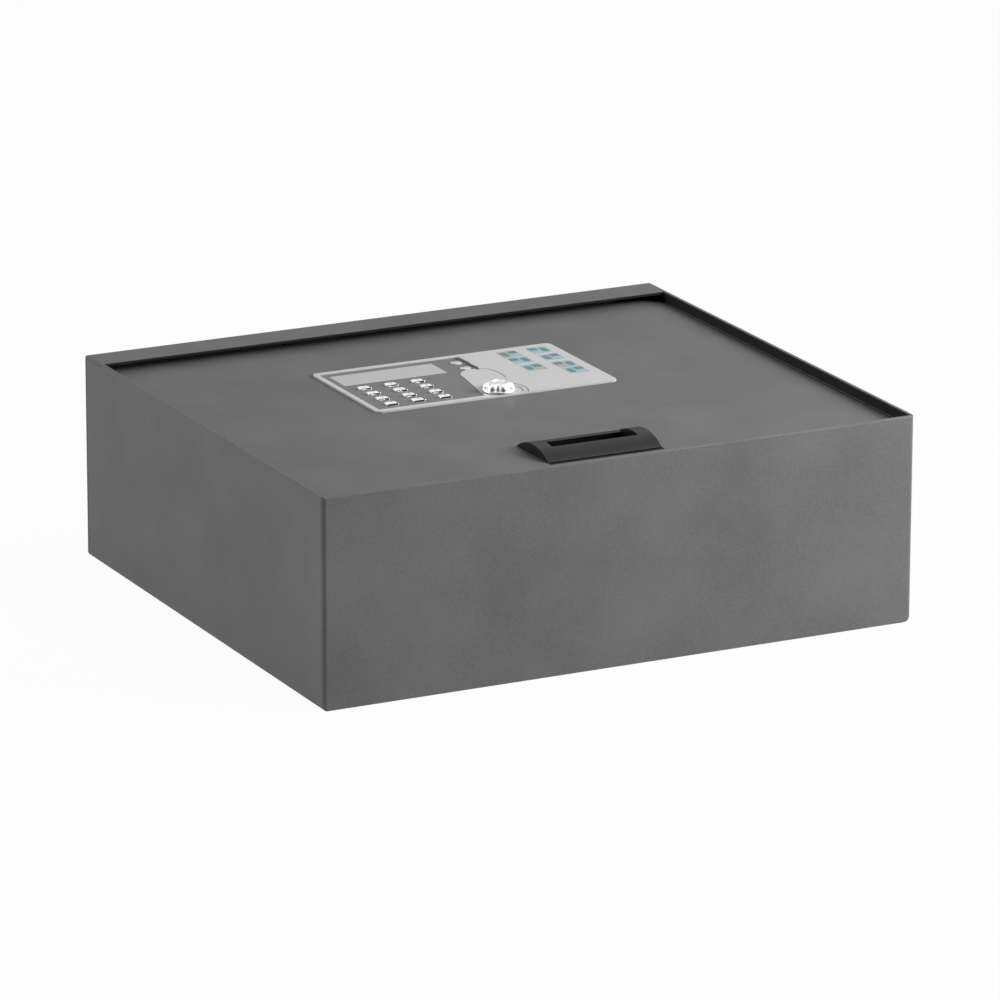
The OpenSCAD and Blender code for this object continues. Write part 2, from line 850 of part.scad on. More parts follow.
module bolt_guides() {
    color("gray")
    for (s = [-1, 1], y = [guide_front, guide_rear])
        difference() {
            translate([s * bolt_dx / 2 - guide_w / 2, y, guide_bot])
                cube([guide_w, guide_d, lid_bot - guide_bot]);
            translate([s * bolt_dx / 2, y - 1, bolt_z]) rotate([-90, 0, 0])
                cylinder(r = bolt_r + run_clear, h = guide_d + 2);
        }
}

// Holds the rack up and against the pinion
module rack_guide() {
    z0 = rack_z - rack_h / 2 - play - rest_lip_t;
    x0 = rack_root + 1.5;
    x1 = rack_back + play;
    color("white") {
        translate([x1, rest_y0, z0]) cube([rest_t, rest_d, lid_bot - z0]);
        translate([x0, rest_y0, z0]) cube([x1 + rest_t - x0, rest_d, rest_lip_t]);
    }
}

module lock_solenoid() {
    back = coil_front + plate_t + coil_l;
    plate_bot = rack_z - coil_r - 1;
    color("gray")
    difference() {
        union() {
            for (x = [coil_front, back])
                translate([x, coil_y - coil_r - 1, plate_bot])
                    cube([plate_t, 2 * coil_r + 2, lid_bot - plate_bot]);
            translate([coil_front, coil_y - coil_r - 1, lid_bot - plate_t])
                cube([coil_l + 2 * plate_t, 2 * coil_r + 2, plate_t]);
            translate([coil_front + plate_t, coil_y, rack_z]) rotate([0, 90, 0])
                cylinder(r = coil_r, h = coil_l);
        }
        translate([coil_front - 1, coil_y, rack_z]) rotate([0, 90, 0])
            cylinder(r = plunger_r + run_clear, h = coil_l + plate_t + 1);
    }
}

module solenoid_plunger() {
    tip = rack_back + plunger_gap;
    color("silver") {
        translate([tip, coil_y, rack_z]) rotate([0, 90, 0])
            cylinder(r = plunger_r, h = coil_front + plate_t + coil_l - 2 - tip);
        translate([coil_front - collar_t - 0.3, coil_y, rack_z]) rotate([0, 90, 0])
            cylinder(r = collar_r, h = collar_t);
    }
}

module holder_places() {
    for (i = [0:3]) translate([holder_x, holder_y + (i - 1.5) * battery_dy, battery_z])
        rotate([0, 0, i % 2 == 0 ? 0 : 180]) children();
}

module battery_holder() {
    inner_w = holder_w - 2 * holder_t;
    inner_l = holder_l - 2 * holder_t;
    color("black")
    difference() {
        translate([holder_x - holder_w / 2, holder_y - holder_l / 2, holder_bot])
            cube([holder_w, holder_l, holder_top - holder_bot]);
        translate([holder_x - inner_w / 2, holder_y - inner_l / 2, holder_bot - 1])
            cube([inner_w, inner_l, holder_top - holder_t - holder_bot + 1]);
    }
}

module battery_contacts() {
    reach = battery_l / 2 + contact_l;
    color("silver")
    holder_places() for (s = [-1, 1]) {
        translate([s > 0 ? reach : -reach - contact_plate_t, -contact_plate_w / 2, -contact_plate_w / 2])
            cube([contact_plate_t, contact_plate_w, contact_plate_w]);
        translate([s > 0 ? battery_l / 2 : -reach, 0, 0]) rotate([0, 90, 0])
            cylinder(r = contact_r, h = contact_l);
    }
}

module batteries() {
    color("orange")
    holder_places() {
        translate([-battery_l / 2, 0, 0]) rotate([0, 90, 0]) cylinder(r = battery_r, h = battery_l - nub_l);
        translate([battery_l / 2 - nub_l, 0, 0]) rotate([0, 90, 0]) cylinder(r = nub_r, h = nub_l);
    }
}

module battery_door() {
    x0 = holder_x - door_w / 2;
    color("slategray") {
        translate([x0, holder_y - door_l / 2, door_top - door_t]) cube([door_w, door_l, door_t]);
        for (i = [0:3])
            translate([x0 + 6 + 3 * i, holder_y - ridge_l / 2, door_top - door_t - ridge_t])
                cube([ridge_t, ridge_l, ridge_t]);
    }
}

// The wires run in straight lengths with round corners
module wire_loom() {
    start = holder_x + holder_w / 2;
    start_y = holder_y - loom_start;
    end_x = coil_front + plate_t + coil_l / 2;
    end_y = coil_y - sqrt(pow(coil_r, 2) - pow(loom_z - wire_r - rack_z, 2)) - play;
    low = battery_z + 1;
    path = [
        [start, start_y, low], [loom_x, start_y, low], [loom_x, loom_y, low],
        [loom_x, loom_y, loom_z], [end_x, loom_y, loom_z], [end_x, end_y, loom_z]
    ];
    color("crimson") {
        for (i = [0:len(path) - 2]) wire(path[i], path[i + 1]);
        for (i = [1:len(path) - 2]) translate(path[i]) sphere(r = wire_r);
        translate([holder_x + 14, holder_y - 16, holder_top])
            cylinder(r = wire_r, h = housing_bot - holder_top);
    }
}

// A straight length of wire along one of the three axes
module wire(a, b) {
    d = b - a;
    turn = d[0] != 0 ? [0, 90, 0] : d[1] != 0 ? [-90, 0, 0] : [0, 0, 0];
    low = [min(a[0], b[0]), min(a[1], b[1]), min(a[2], b[2])];
    translate(low) rotate(turn) cylinder(r = wire_r, h = norm(d));
}

module knob() {
    color("gainsboro")
    difference() {
        union() {
            translate([knob_x, knob_y, knob_bot]) cylinder(r = knob_r, h = skirt_h);
            intersection() {
                translate([knob_x, knob_y, knob_bot]) linear_extrude(knob_h) {
                    circle(grip_r);
                    for (i = [0:lobes - 1])
                        rotate((i + 0.5) * 360 / lobes) translate([lobe_at, 0]) circle(lobe_r);
                }
                translate([knob_x, knob_y, knob_bot]) rotate_extrude() polygon([
                    [0, 0], [knob_r, 0], [knob_r, knob_h - 2], [knob_r - 1.6, knob_h - 0.5],
                    [knob_r - 2.6, knob_h], [0, knob_h]
                ]);
            }
        }
        translate([knob_x, knob_y, knob_bot - 1])
            cylinder(r = spindle_r + seat_clear, h = spindle_top + 0.1 - knob_bot + 1);
        translate([knob_x, knob_y, knob_top - cap_drop - cap_t]) cylinder(r = cap_r + 0.1, h = 2 * cap_t);
    }
}

module knob_cap() {
    color("gray")
    translate([knob_x, knob_y, knob_top - cap_drop - cap_t]) cylinder(r = cap_r, h = cap_t);
}

module knob_spindle() {
    color("silver")
    translate([knob_x, knob_y, spindle_bot]) cylinder(r = spindle_r, h = spindle_top - spindle_bot);
}

// Half the angle of a pinion tooth at radius r, from its involute flank
function involute(a) = tan(a) * 180 / PI - a;
function tooth_half(r) = 90 / pinion_teeth + involute(pressure) - involute(acos(min(1, base_r / r)))
    - backlash / pitch_r * 180 / PI;
function tooth_side(s, tooth) = [for (i = [0:4])
    let (r = base_r + i * (pitch_r + addendum - base_r) / 4, a = tooth + s * tooth_half(r))
        [r * cos(a), r * sin(a)]];
function tooth_root(s, tooth) = let (a = tooth + s * tooth_half(base_r))
    [(pitch_r - dedendum) * cos(a), (pitch_r - dedendum) * sin(a)];
function reversed(list) = [for (i = [len(list) - 1:-1:0]) list[i]];

module pinion() {
    points = [for (k = [0:pinion_teeth - 1]) let (a = k * 360 / pinion_teeth) each concat(
        [tooth_root(-1, a)], tooth_side(-1, a), reversed(tooth_side(1, a)), [tooth_root(1, a)])];
    color("khaki")
    translate([knob_x, knob_y, pinion_bot]) difference() {
        linear_extrude(pinion_l) polygon(points);
        translate([0, 0, -1]) cylinder(r = spindle_r + seat_clear, h = pinion_l + 2);
    }
}

// Rack teeth along Y that mesh with the pinion from open to locked
module rack_teeth() {
    top = rack_pitch / 4 - backlash - addendum * tan(pressure);
    root = rack_pitch / 4 - backlash + dedendum * tan(pressure);
    for (k = [-2:4])
        translate([rack_line, knob_y + (k + 0.5) * rack_pitch]) polygon([
            [dedendum + 0.1, -root], [-addendum, -top], [-addendum, top], [dedendum + 0.1, root]
        ]);
}

module bolt_carriage() {
    color("gray")
    difference() {
        union() {
            translate([-bar_w / 2, bolt_rear, bolt_z - bar_h / 2]) cube([bar_w, bar_d, bar_h]);
            translate([0, 0, rack_z - rack_h / 2]) linear_extrude(rack_h) {
                translate([rack_root, bolt_rear + 1])
                    square([rack_back - rack_root, rack_rear - bolt_rear - 1]);
                rack_teeth();
            }
        }
        for (s = [-1, 1])
            translate([s * bolt_dx / 2, bolt_rear - 1, bolt_z]) rotate([-90, 0, 0])
                cylinder(r = spigot_r + seat_clear, h = bar_d + 2);
        for (y = [coil_y, coil_y + throw])
            translate([rack_back - notch_d, y - notch_w / 2, rack_z - rack_h])
                cube([notch_d + 1, notch_w, 2 * rack_h]);
    }
}

module lock_bolts() {
    color("silver")
    for (s = [-1, 1])
        translate([s * bolt_dx / 2, bolt_tip, bolt_z]) rotate([-90, 0, 0]) {
            cylinder(r = bolt_r, h = bolt_rear - bolt_tip);
            cylinder(r = spigot_r, h = bolt_rear - bolt_tip + bar_d + 1);
        }
}

// A key with a flange under the fascia and a crown across its top
module number_key(col, row) {
    top = fascia_top + key_rise;
    crown_r = (pow(key_l / 2, 2) + pow(key_crown, 2)) / (2 * key_crown);
    color("gainsboro")
    translate([key_cols[col], key_rows[row], 0]) {
        intersection() {
            translate([0, 0, key_floor]) linear_extrude(top - key_floor) round_rect(key_w, key_l, key_r);
            along_x(key_w + 2) union() {
                translate([0, top - crown_r]) circle(crown_r);
                translate([-key_l / 2, key_floor]) square([key_l, top - crown_r - key_floor + 0.1]);
            }
        }
        translate([0, 0, key_floor]) linear_extrude(key_flange_t)
            square([key_w + 2 * key_flange, key_l + 2 * key_flange], center = true);
    }
}

module function_key(row) {
    color("gainsboro")
    translate([fkey_x, fkey_rows[row], key_floor]) {
        linear_extrude(fascia_top + fkey_rise - key_floor) round_rect(fkey_w, fkey_l, fkey_l / 2 - 0.1);
        linear_extrude(key_flange_t)
            square([fkey_w + 2 * key_flange, fkey_l + 2 * key_flange], center = true);
    }
}

module key_1() { number_key(0, 0); }
module key_2() { number_key(1, 0); }
module key_3() { number_key(2, 0); }
module key_4() { number_key(0, 1); }
module key_5() { number_key(1, 1); }
module key_6() { number_key(2, 1); }
module key_7() { number_key(0, 2); }
module key_8() { number_key(1, 2); }
module key_9() { number_key(2, 2); }
module key_star() { number_key(0, 3); }
module key_0() { number_key(1, 3); }
module key_hash() { number_key(2, 3); }
module upper_function_key() { function_key(0); }
module lower_function_key() { function_key(1); }

body_shell();
front_panel();
rear_panel();
front_ledge();
left_ledge();
right_ledge();
lid_buffers();
dust_seal();
floor_mat();
left_hinge_bracket();
right_hinge_bracket();
hinge_pins();
lid_plate();
left_hinge_leaf();
right_hinge_leaf();
fascia();
keypad_overlay();
display_window();
display_module();
keypad_housing();
housing_screws();
keypad_membrane();
circuit_board();
pull_handle();
handle_screws();
lock_cover();
cover_posts();
cover_screws();
spindle_bush();
bolt_guides();
rack_guide();
lock_solenoid();
battery_holder();
battery_contacts();
batteries();
wire_loom();
knob();
knob_cap();
knob_spindle();
pinion();
bolt_carriage();
lock_bolts();
solenoid_plunger();
battery_door();
key_1();
key_2();
key_3();
key_4();
key_5();
key_6();
key_7();
key_8();
key_9();
key_star();
key_0();
key_hash();
upper_function_key();
lower_function_key();
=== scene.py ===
"""Dresses a top-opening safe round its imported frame: painted sheet steel, a silver fascia with chromed keys
and knob, a black pull handle, and the felt, hinges and lock that show when the lid is up."""

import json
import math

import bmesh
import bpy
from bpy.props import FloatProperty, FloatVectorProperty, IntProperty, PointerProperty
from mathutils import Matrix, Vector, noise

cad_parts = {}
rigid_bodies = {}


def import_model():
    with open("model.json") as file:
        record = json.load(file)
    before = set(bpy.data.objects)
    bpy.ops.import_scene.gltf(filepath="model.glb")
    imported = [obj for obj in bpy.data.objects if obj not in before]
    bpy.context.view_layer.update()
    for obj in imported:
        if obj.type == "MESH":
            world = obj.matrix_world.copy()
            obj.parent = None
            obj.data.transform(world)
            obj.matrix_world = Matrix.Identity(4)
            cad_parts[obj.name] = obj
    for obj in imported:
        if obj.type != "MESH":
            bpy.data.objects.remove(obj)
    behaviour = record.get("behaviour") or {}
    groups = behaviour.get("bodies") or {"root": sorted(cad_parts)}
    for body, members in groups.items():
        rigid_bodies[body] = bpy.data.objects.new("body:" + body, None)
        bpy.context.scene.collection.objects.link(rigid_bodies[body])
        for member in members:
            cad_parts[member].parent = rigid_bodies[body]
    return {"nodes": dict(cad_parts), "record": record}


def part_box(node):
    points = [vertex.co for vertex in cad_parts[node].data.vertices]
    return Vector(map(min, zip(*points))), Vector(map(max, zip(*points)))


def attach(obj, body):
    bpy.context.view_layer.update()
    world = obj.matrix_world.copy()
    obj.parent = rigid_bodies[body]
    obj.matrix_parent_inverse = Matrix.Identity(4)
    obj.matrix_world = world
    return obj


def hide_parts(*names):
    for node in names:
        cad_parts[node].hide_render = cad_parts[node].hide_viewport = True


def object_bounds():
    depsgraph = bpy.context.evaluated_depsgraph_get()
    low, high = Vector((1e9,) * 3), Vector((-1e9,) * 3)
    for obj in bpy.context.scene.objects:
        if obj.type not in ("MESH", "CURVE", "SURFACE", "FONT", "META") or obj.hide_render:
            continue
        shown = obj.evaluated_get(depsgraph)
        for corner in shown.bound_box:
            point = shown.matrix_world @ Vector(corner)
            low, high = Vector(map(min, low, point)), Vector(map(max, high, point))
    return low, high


bl_info = {
    "name": "Top-opening safe",
    "version": (1, 0, 0),
    "blender": (4, 5, 0),
    "location": "3D View > Sidebar > Safe",
    "description": "Dresses the frame of a top-opening safe with its finishes, keys, knob, handle and prints",
    "category": "Object",
}

for unused in list(bpy.data.objects):
    bpy.data.objects.remove(unused)
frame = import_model()

MM = 0.001
CAD_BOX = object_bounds()
BODY_OF = {node: body for body, nodes in frame["record"]["behaviour"]["bodies"].items() for node in nodes}

# Planes and centres of the frame
FASCIA_LOW, FASCIA_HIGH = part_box("fascia")
FASCIA_TOP = FASCIA_HIGH.z
KNOB_LOW, KNOB_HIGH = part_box("knob")
KNOB_AT = (KNOB_LOW + KNOB_HIGH) / 2
MAT_LOW, MAT_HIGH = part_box("floor_mat")
KEY_WORDS = {"*": "star", "#": "hash"}
NUMBER_KEYS = {"key_" + KEY_WORDS.get(character, character): character for character in "123456789*0#"}
FUNCTION_KEYS = ("upper_function_key", "lower_function_key")

# In millimetres from the fascia's centre: the painted shadow line's start, and the printed thin line's way to
# the knob
RECESS_SHADOW_START = (14.2, 42.0)
LINE_SWEEP = ((18.9, 12.8), (22.0, 8.5), (23.4, 2.0), (23.9, -5.0), (22.5, -13.0))
# The painted shadow line's way past a function key, along the film's recess edge, in millimetres from the
# spot beside the key
RECESS_SHADOW_BEND = ((0, 3), (1, -1), (-1, -6))
# The arcs right of the knob, in degrees, and the points along each
ARC_START, ARC_END = -35, 50
ARC_POINTS = 12
# Each pictogram's centre, and the inks under its left and right halves
PICTOGRAMS = (
    (48.7, 34.5, "rose", "blue"), (48.7, 19.0, "blue", "blue"), (48.7, 0.5, "blue", "olive"),
    (70.0, 35.0, "blue", "blue"), (70.0, 17.5, "blue", "blue"), (70.0, -1.0, "rose", "blue"),
    (70.0, -16.0, "blue", "blue"),
)
# How far a pictogram's motifs reach from the middle of their field, and their corners, in shares of the field
OVAL_W, OVAL_L, OVAL_CORNER = 0.33, 0.66, 0.32
BLOCK_W, BLOCK_L, BLOCK_CORNER = 0.42, 0.86, 0.1

# A key's crown, from -1 at its rear edge to 1 at its front: where the rear's drop ends and the front's
# starts, the share of its height that the slope between them loses, and how much that slope bends
CROWN_REAR, CROWN_FRONT = -0.7, 0.9
CROWN_SLOPE, CROWN_BEND = 0.3, 1.4
# How steep a key's front is, and how square its two ends are
CROWN_STEEP, CROWN_SQUARE = 7.0, 7
# Cuts that let a key and its digit bend, along half a key
KEY_CUTS = 10
# How deep a digit sits in its key, in shares of the ink's thickness
DIGIT_SUNK = 0.4
# A function key's crown as a share of a number key's, and what its corners leave straight at half its end
FUNCTION_CROWN = 0.25
OVAL_STRAIGHT = 0.1 * MM

# The knob's outline in millimetres: inside the skirt and over the base, inside the grip and over the base,
# inside the grip and under the top, and outside the cap and under the top
KNOB_SKIRT = ((0.3, 0.0), (0.0, 0.3), (0.0, 0.9), (0.1, 1.15), (0.35, 1.3))
KNOB_GRIP = ((-0.1, 1.35), (0.0, 1.6), (0.0, 2.4), (0.15, 2.9))
KNOB_SHOULDER = ((0.45, 2.0), (1.0, 1.2), (1.8, 0.6), (2.7, 0.25), (3.6, 0.05))
KNOB_SEAT = ((0.9, 0.0), (0.4, 0.02), (0.1, 0.25))
# The cap's edge, inside its rim and under its top, and its dish, in shares of its radius and under its top
CAP_EDGE = ((0.0, 0.1), (0.1, 0.0), (0.35, 0.0), (0.45, 0.05), (0.8, 0.45), (1.1, 0.45))
CAP_DISH = ((0.5, 0.36), (0.0, 0.315))
# The direction of one of the knob's lobes in degrees, the height over the base where they start, the plain
# ring that they leave round the cap, and how narrow the scallops between them are
LOBE_AT = 30
LOBES_FROM = 1.33 * MM
LOBES_RING = 0.3 * MM
SCALLOP_BEND = 1.6
# Steps round the knob for each lobe, and round its cap
LOBE_STEPS = 20
CAP_STEPS = 64

# The copper band at a cell's positive end
CELL_BAND = 12 * MM

# How finely meshes are welded and flattened, and where an edge counts as sharp
WELD = 0.001 * MM
FLAT = math.radians(0.5)
SHARP = math.radians(30)

# How far a cutter starts outside what it cuts
CUT_PAST = 1 * MM

# The studio, in metres: each softbox's name, place, width and height, and the size that sets its power
SOFTBOXES = (
    ("right_softbox", (1.25, -0.85, 0.85), 1.0, 0.8, "key_light"),
    ("left_softbox", (-2.2, 0.9, 0.8), 1.6, 1.2, "side_light"),
    ("top_softbox", (1.03, -0.38, 2.1), 0.6, 0.4, "top_light"),
)
# The card behind the camera, for the keys' fronts to mirror, and the flat behind the safe, for their tops
DARK_CARD_AWAY = 6.0
DARK_CARD_SIZE = (34.0, 10.0)
REAR_FLAT_AT = (1.57, 3.13, 0.5)
REAR_FLAT_SIZE = (8.0, 1.9)
# The floor's radius, its depth under the base, and the share of it that is plain white to the camera
FLOOR_R = 20.0
FLOOR_DOWN = 0.1 * MM
FLOOR_GLOW = 0.96

# The camera stands where the photograph was taken from
CAMERA_AT = (-1.8976, -3.7883, 1.3348)
CAMERA_AZIMUTH = 26.66
CAMERA_DOWN = 16.78
CAMERA_ROLL = 0.152
CAMERA_LENS = 255.8


def linear(code):
    """The linear RGB of an sRGB hex colour."""
    parts = [int(code[i:i + 2], 16) / 255 for i in (1, 3, 5)]
    return tuple(c / 12.92 if c <= 0.04045 else ((c + 0.055) / 1.055) ** 2.4 for c in parts)


def colour(name, text, code):
    return FloatVectorProperty(name=name, description=text, subtype="COLOR", size=3, min=0.0, max=1.0,
                               default=linear(code))


def length(name, text, default):
    return FloatProperty(name=name, description=text, unit="LENGTH", min=0.0, precision=5, default=default)


def power(name, text, default):
    return FloatProperty(name=name, description=text, unit="POWER", min=0.0, default=default)


class SafeColours(bpy.types.PropertyGroup):
    paint_dark: colour("Paint, dark", "Darker tone of the powder coat", "#636363")
    paint_light: colour("Paint, light", "Lighter tone of the powder coat", "#737373")
    silver: colour("Fascia", "Silver print of the fascia", "#DEDEDD")
    film: colour("Keypad film", "Grey film of the keypad", "#7E7E7F")
    lens: colour("Display lens", "Lens over the display", "#DADBDA")
    chrome: colour("Chrome", "Plating of the keys and the knob", "#F0F0EE")
    handle: colour("Handle", "Moulded plastic of the pull handle", "#0D0D0E")
    zinc: colour("Zinc", "Plating of the hinges and the lock", "#BFC2C5")
    felt: colour("Felt", "Felt mat on the floor of the safe", "#3A3D40")
    brass: colour("Brass", "Turned brass of the bush and the pinion", "#C9A961")
    ink_teal: colour("Teal ink", "Ink of the pictograms' ovals and blocks", "#5F8D97")
    ink_blue: colour("Blue ink", "Pale ink under the pictograms", "#AFC3CB")
    ink_olive: colour("Olive ink", "Warm pale ink under the pictograms", "#B4B7A3")
    ink_rose: colour("Rose ink", "Reddish pale ink under the pictograms", "#BFB3B1")
    ink_line: colour("Line ink", "Printed lines on the fascia", "#8D8E8F")
    # Painted shadow: the dark line beside the function keys stands for the shade along the edge of the film's
    # recess
    ink_black: colour("Black ink", "Printed lines beside the keys", "#3B3C3D")


class SafeSizes(bpy.types.PropertyGroup):
    paint_round: length("Paint round", "Radius that paint gives a sheet's cut edge", 0.35 * MM)
    part_round: length("Part round", "Radius on the edges of turned and stamped parts", 0.25 * MM)
    handle_round: length("Handle round", "Radius on the edges of the moulded handle", 0.5 * MM)
    # Painted shadow: a dark rubber strip on the lid in front of the handle, where the gap before the handle
    # lies in shade
    seal_w: length("Seal width", "Width of the seal that shows in front of the handle", 2.6 * MM)
    seal_t: length("Seal thickness", "Thickness of that seal", 0.3 * MM)
    bead_w: length("Bead", "Thickness of the bead along the handle's front", 1.0 * MM)
    key_flange: length("Key flange", "Width of the flange that keeps a key under the fascia", 1.0 * MM)
    key_flange_t: length("Flange thickness", "Thickness of a key's flange", 1.5 * MM)
    key_corner: length("Key corner", "Radius of a key's corners seen from above", 1.2 * MM)
    key_crown: length("Key crown", "Height of a number key's domed top", 1.35 * MM)
    digit_size: length("Digit size", "Height of the digits on the keys", 2.8 * MM)
    scallop: length("Scallop", "Depth of the scallops between the knob's lobes", 2.3 * MM)
    ink_t: length("Ink thickness", "Thickness of the printed ink", 0.03 * MM)
    grip_r: length("Grip", "Radius of the knob's grip over its lobes", 10.1 * MM)
    knob_fit: length("Knob fit", "Clearance of the knob's bore round its spindle", 0.05 * MM)
    # Painted shadow: where the dark line beside the function keys lies, and how wide it is
    key_line_gap: length("Key line", "Distance from a function key's centre to the line beside it", 6.5 * MM)
    key_line_w: length("Key line width", "Width of the black line beside the function keys", 2.2 * MM)
    thin_line_w: length("Thin line width", "Width of the grey lines round the knob", 1.1 * MM)
    inner_arc_r: length("Inner arc", "Radius of the inner arc printed round the knob", 15.0 * MM)
    outer_arc_r: length("Outer arc", "Radius of the outer arc printed round the knob", 18.5 * MM)
    picture_w: length("Pictogram width", "Width of a pictogram", 13.5 * MM)
    picture_l: length("Pictogram length", "Length of a pictogram from front to back", 14.0 * MM)
    picture_corner: length("Pictogram corner", "Radius of the corners of a pictogram's halves", 0.8 * MM)
    mat_wave: length("Mat wave", "Spread of the soft waves in the felt", 45.0 * MM)
    mat_slack: length("Mat slack", "Height of the soft waves in the felt", 0.7 * MM)
    mat_hole: length("Mat hole", "Radius of the mat's holes over the anchor bolts", 9.0 * MM)
    screw_head_r: length("Screw head", "Radius of the cover's screw heads", 3.8 * MM)
    recess_w: length("Recess width", "Width of each arm of a cross recess", 0.9 * MM)
    recess_l: length("Recess length", "Length of each arm of a cross recess", 4.0 * MM)
    recess_d: length("Recess depth", "Depth of a cross recess", 1.2 * MM)
    lobes: IntProperty(name="Lobes", description="Lobes of the knob", min=3, max=12, default=6)
    key_light: power("Right light", "Power of the softbox at the right", 32.3)
    side_light: power("Left light", "Power of the softbox at the left", 18.5)
    top_light: power("Top light", "Power of the softbox overhead", 7.0)
    ambient: FloatProperty(name="Ambient", description="Level of the light from all round", min=0.0,
                           default=0.18)


# Building blocks for materials


def per_mm(size):
    """A texture's scale on Object coordinates for a feature of that size in millimetres."""
    return 1.0 / (size * MM)


def add(tree, kind, sockets=(), result=0, **settings):
    """Adds a node, sets it, fills or links its inputs by name, and gives back one of its outputs."""
    made = tree.nodes.new(kind)
    for name, value in settings.items():
        setattr(made, name, value)
    for name, value in dict(sockets).items():
        socket = next(s for s in made.inputs if name in (s.identifier, s.name))
        if isinstance(value, bpy.types.NodeSocket):
            tree.links.new(value, socket)
        else:
            socket.default_value = (*value, 1.0) if socket.type == "RGBA" else value
    if isinstance(result, str):
        return next(s for s in made.outputs if s.identifier == result)
    return made.outputs[result] if made.outputs else made


def empty_material(name):
    """A material with an empty tree."""
    material = bpy.data.materials.new(name)
    material.use_nodes = True
    material.node_tree.nodes.clear()
    return material, material.node_tree


def surfaced(name, finish, *values):
    """A material whose finish adds nodes on Object coordinates, and gives the sockets of its surface. Where
    its colour is two tones and the pattern between them, they are mixed here."""
    material, tree = empty_material(name)
    place = add(tree, "ShaderNodeTexCoord", result="Object")
    sockets = finish(tree, place, *values)
    tones = sockets["Base Color"]
    if isinstance(tones, dict):
        sockets["Base Color"] = add(tree, "ShaderNodeMix", tones, result="Result_Color", data_type="RGBA")
    surface = add(tree, "ShaderNodeBsdfPrincipled", sockets)
    add(tree, "ShaderNodeOutputMaterial", {"Surface": surface})
    return material


def material_of(finish):
    """The material with a finish, made the first time that it is asked for."""
    name = finish.__name__
    return bpy.data.materials.get(name) or surfaced(name, finish, bpy.context.scene.safe_colours)


def shade(rgb, share):
    """A colour made lighter or darker by a share."""
    return tuple(min(1.0, c * share) for c in rgb)


def powder_paint(tree, place, colours):
    """Polyester powder coat, baked on sheet steel: satin, with an orange peel that breaks up highlights."""
    clouds = add(tree, "ShaderNodeTexNoise", {"Vector": place, "Scale": per_mm(55), "Detail": 3.0})
    # The grains are near 0.3 mm on the real sheet, and are drawn at 0.9 mm so that they show
    grains = add(tree, "ShaderNodeTexNoise", {"Vector": place, "Scale": per_mm(0.9), "Detail": 2.0})
    mixed = add(tree, "ShaderNodeMath", {"Value": clouds, "Value_001": grains}, operation="ADD")
    tone = add(tree, "ShaderNodeMapRange", {"Value": mixed, "From Min": 0.7, "From Max": 1.3})
    peel = add(tree, "ShaderNodeTexNoise", {"Vector": place, "Scale": per_mm(1.6), "Detail": 3.0})
    relief = add(tree, "ShaderNodeBump", {"Height": peel, "Distance": 0.06 * MM, "Strength": 0.35})
    sheen = add(tree, "ShaderNodeMapRange", {"Value": grains, "To Min": 0.5, "To Max": 0.62})
    return {
        "Base Color": {"Factor_Float": tone, "A_Color": colours.paint_dark, "B_Color": colours.paint_light},
        "Roughness": sheen, "Normal": relief, "IOR": 1.5, "Specular IOR Level": 0.3}


def zinc_plate(tree, place, colours):
    """Bright zinc on rolled steel: a soft metal shine with cloudy patches and fine rolling lines."""
    clouds = add(tree, "ShaderNodeTexNoise", {"Vector": place, "Scale": per_mm(9), "Detail": 4.0})
    drawn = add(tree, "ShaderNodeMapping", {"Vector": place, "Scale": (1.0, 12.0, 12.0)})
    lines = add(tree, "ShaderNodeTexNoise", {"Vector": drawn, "Scale": per_mm(6), "Detail": 2.0})
    relief = add(tree, "ShaderNodeBump", {"Height": lines, "Distance": 0.01 * MM, "Strength": 0.3})
    shine = add(tree, "ShaderNodeMapRange", {"Value": clouds, "To Min": 0.26, "To Max": 0.42})
    return {
        "Base Color": {"Factor_Float": clouds, "A_Color": shade(colours.zinc, 0.82), "B_Color": colours.zinc},
        "Metallic": 1.0, "Roughness": shine, "Normal": relief}


def chrome_plate(tree, place, colours):
    """Decorative chrome on moulded plastic: a bright mirror with the moulding's faint waves under it."""
    waves = add(tree, "ShaderNodeTexNoise", {"Vector": place, "Scale": per_mm(3), "Detail": 1.0})
    relief = add(tree, "ShaderNodeBump", {"Height": waves, "Distance": 0.02 * MM, "Strength": 0.25})
    wear = add(tree, "ShaderNodeMapRange", {"Value": waves, "To Min": 0.09, "To Max": 0.17})
    return {"Base Color": colours.chrome, "Metallic": 1.0, "Roughness": wear, "Normal": relief}


def worn_chrome(tree, place, colours):
    """The same plating where fingers have dulled it: the knob's lobes keep their shine with softer edges."""
    smears = add(tree, "ShaderNodeTexNoise", {"Vector": place, "Scale": per_mm(2.5), "Detail": 2.0})
    wear = add(tree, "ShaderNodeMapRange", {"Value": smears, "To Min": 0.34, "To Max": 0.44})
    return {"Base Color": colours.chrome, "Metallic": 1.0, "Roughness": wear}


def silver_print(tree, place, colours):
    """Silver ink under the satin film of a membrane panel: even and pale, with a fine metallic fleck."""
    flecks = add(tree, "ShaderNodeTexNoise", {"Vector": place, "Scale": per_mm(0.8), "Detail": 2.0})
    clouds = add(tree, "ShaderNodeTexNoise", {"Vector": place, "Scale": per_mm(30), "Detail": 2.0})
    mixed = add(tree, "ShaderNodeMath", {"Value": clouds, "Value_001": flecks}, operation="ADD")
    tone = add(tree, "ShaderNodeMapRange", {"Value": mixed, "From Min": 0.6, "From Max": 1.4})
    relief = add(tree, "ShaderNodeBump", {"Height": flecks, "Distance": 0.01 * MM, "Strength": 0.2})
    return {
        "Base Color": {"Factor_Float": tone, "A_Color": shade(colours.silver, 0.95),
                       "B_Color": shade(colours.silver, 1.03)},
        "Metallic": 0.15, "Roughness": 0.38, "Normal": relief, "IOR": 1.5, "Specular IOR Level": 0.3}


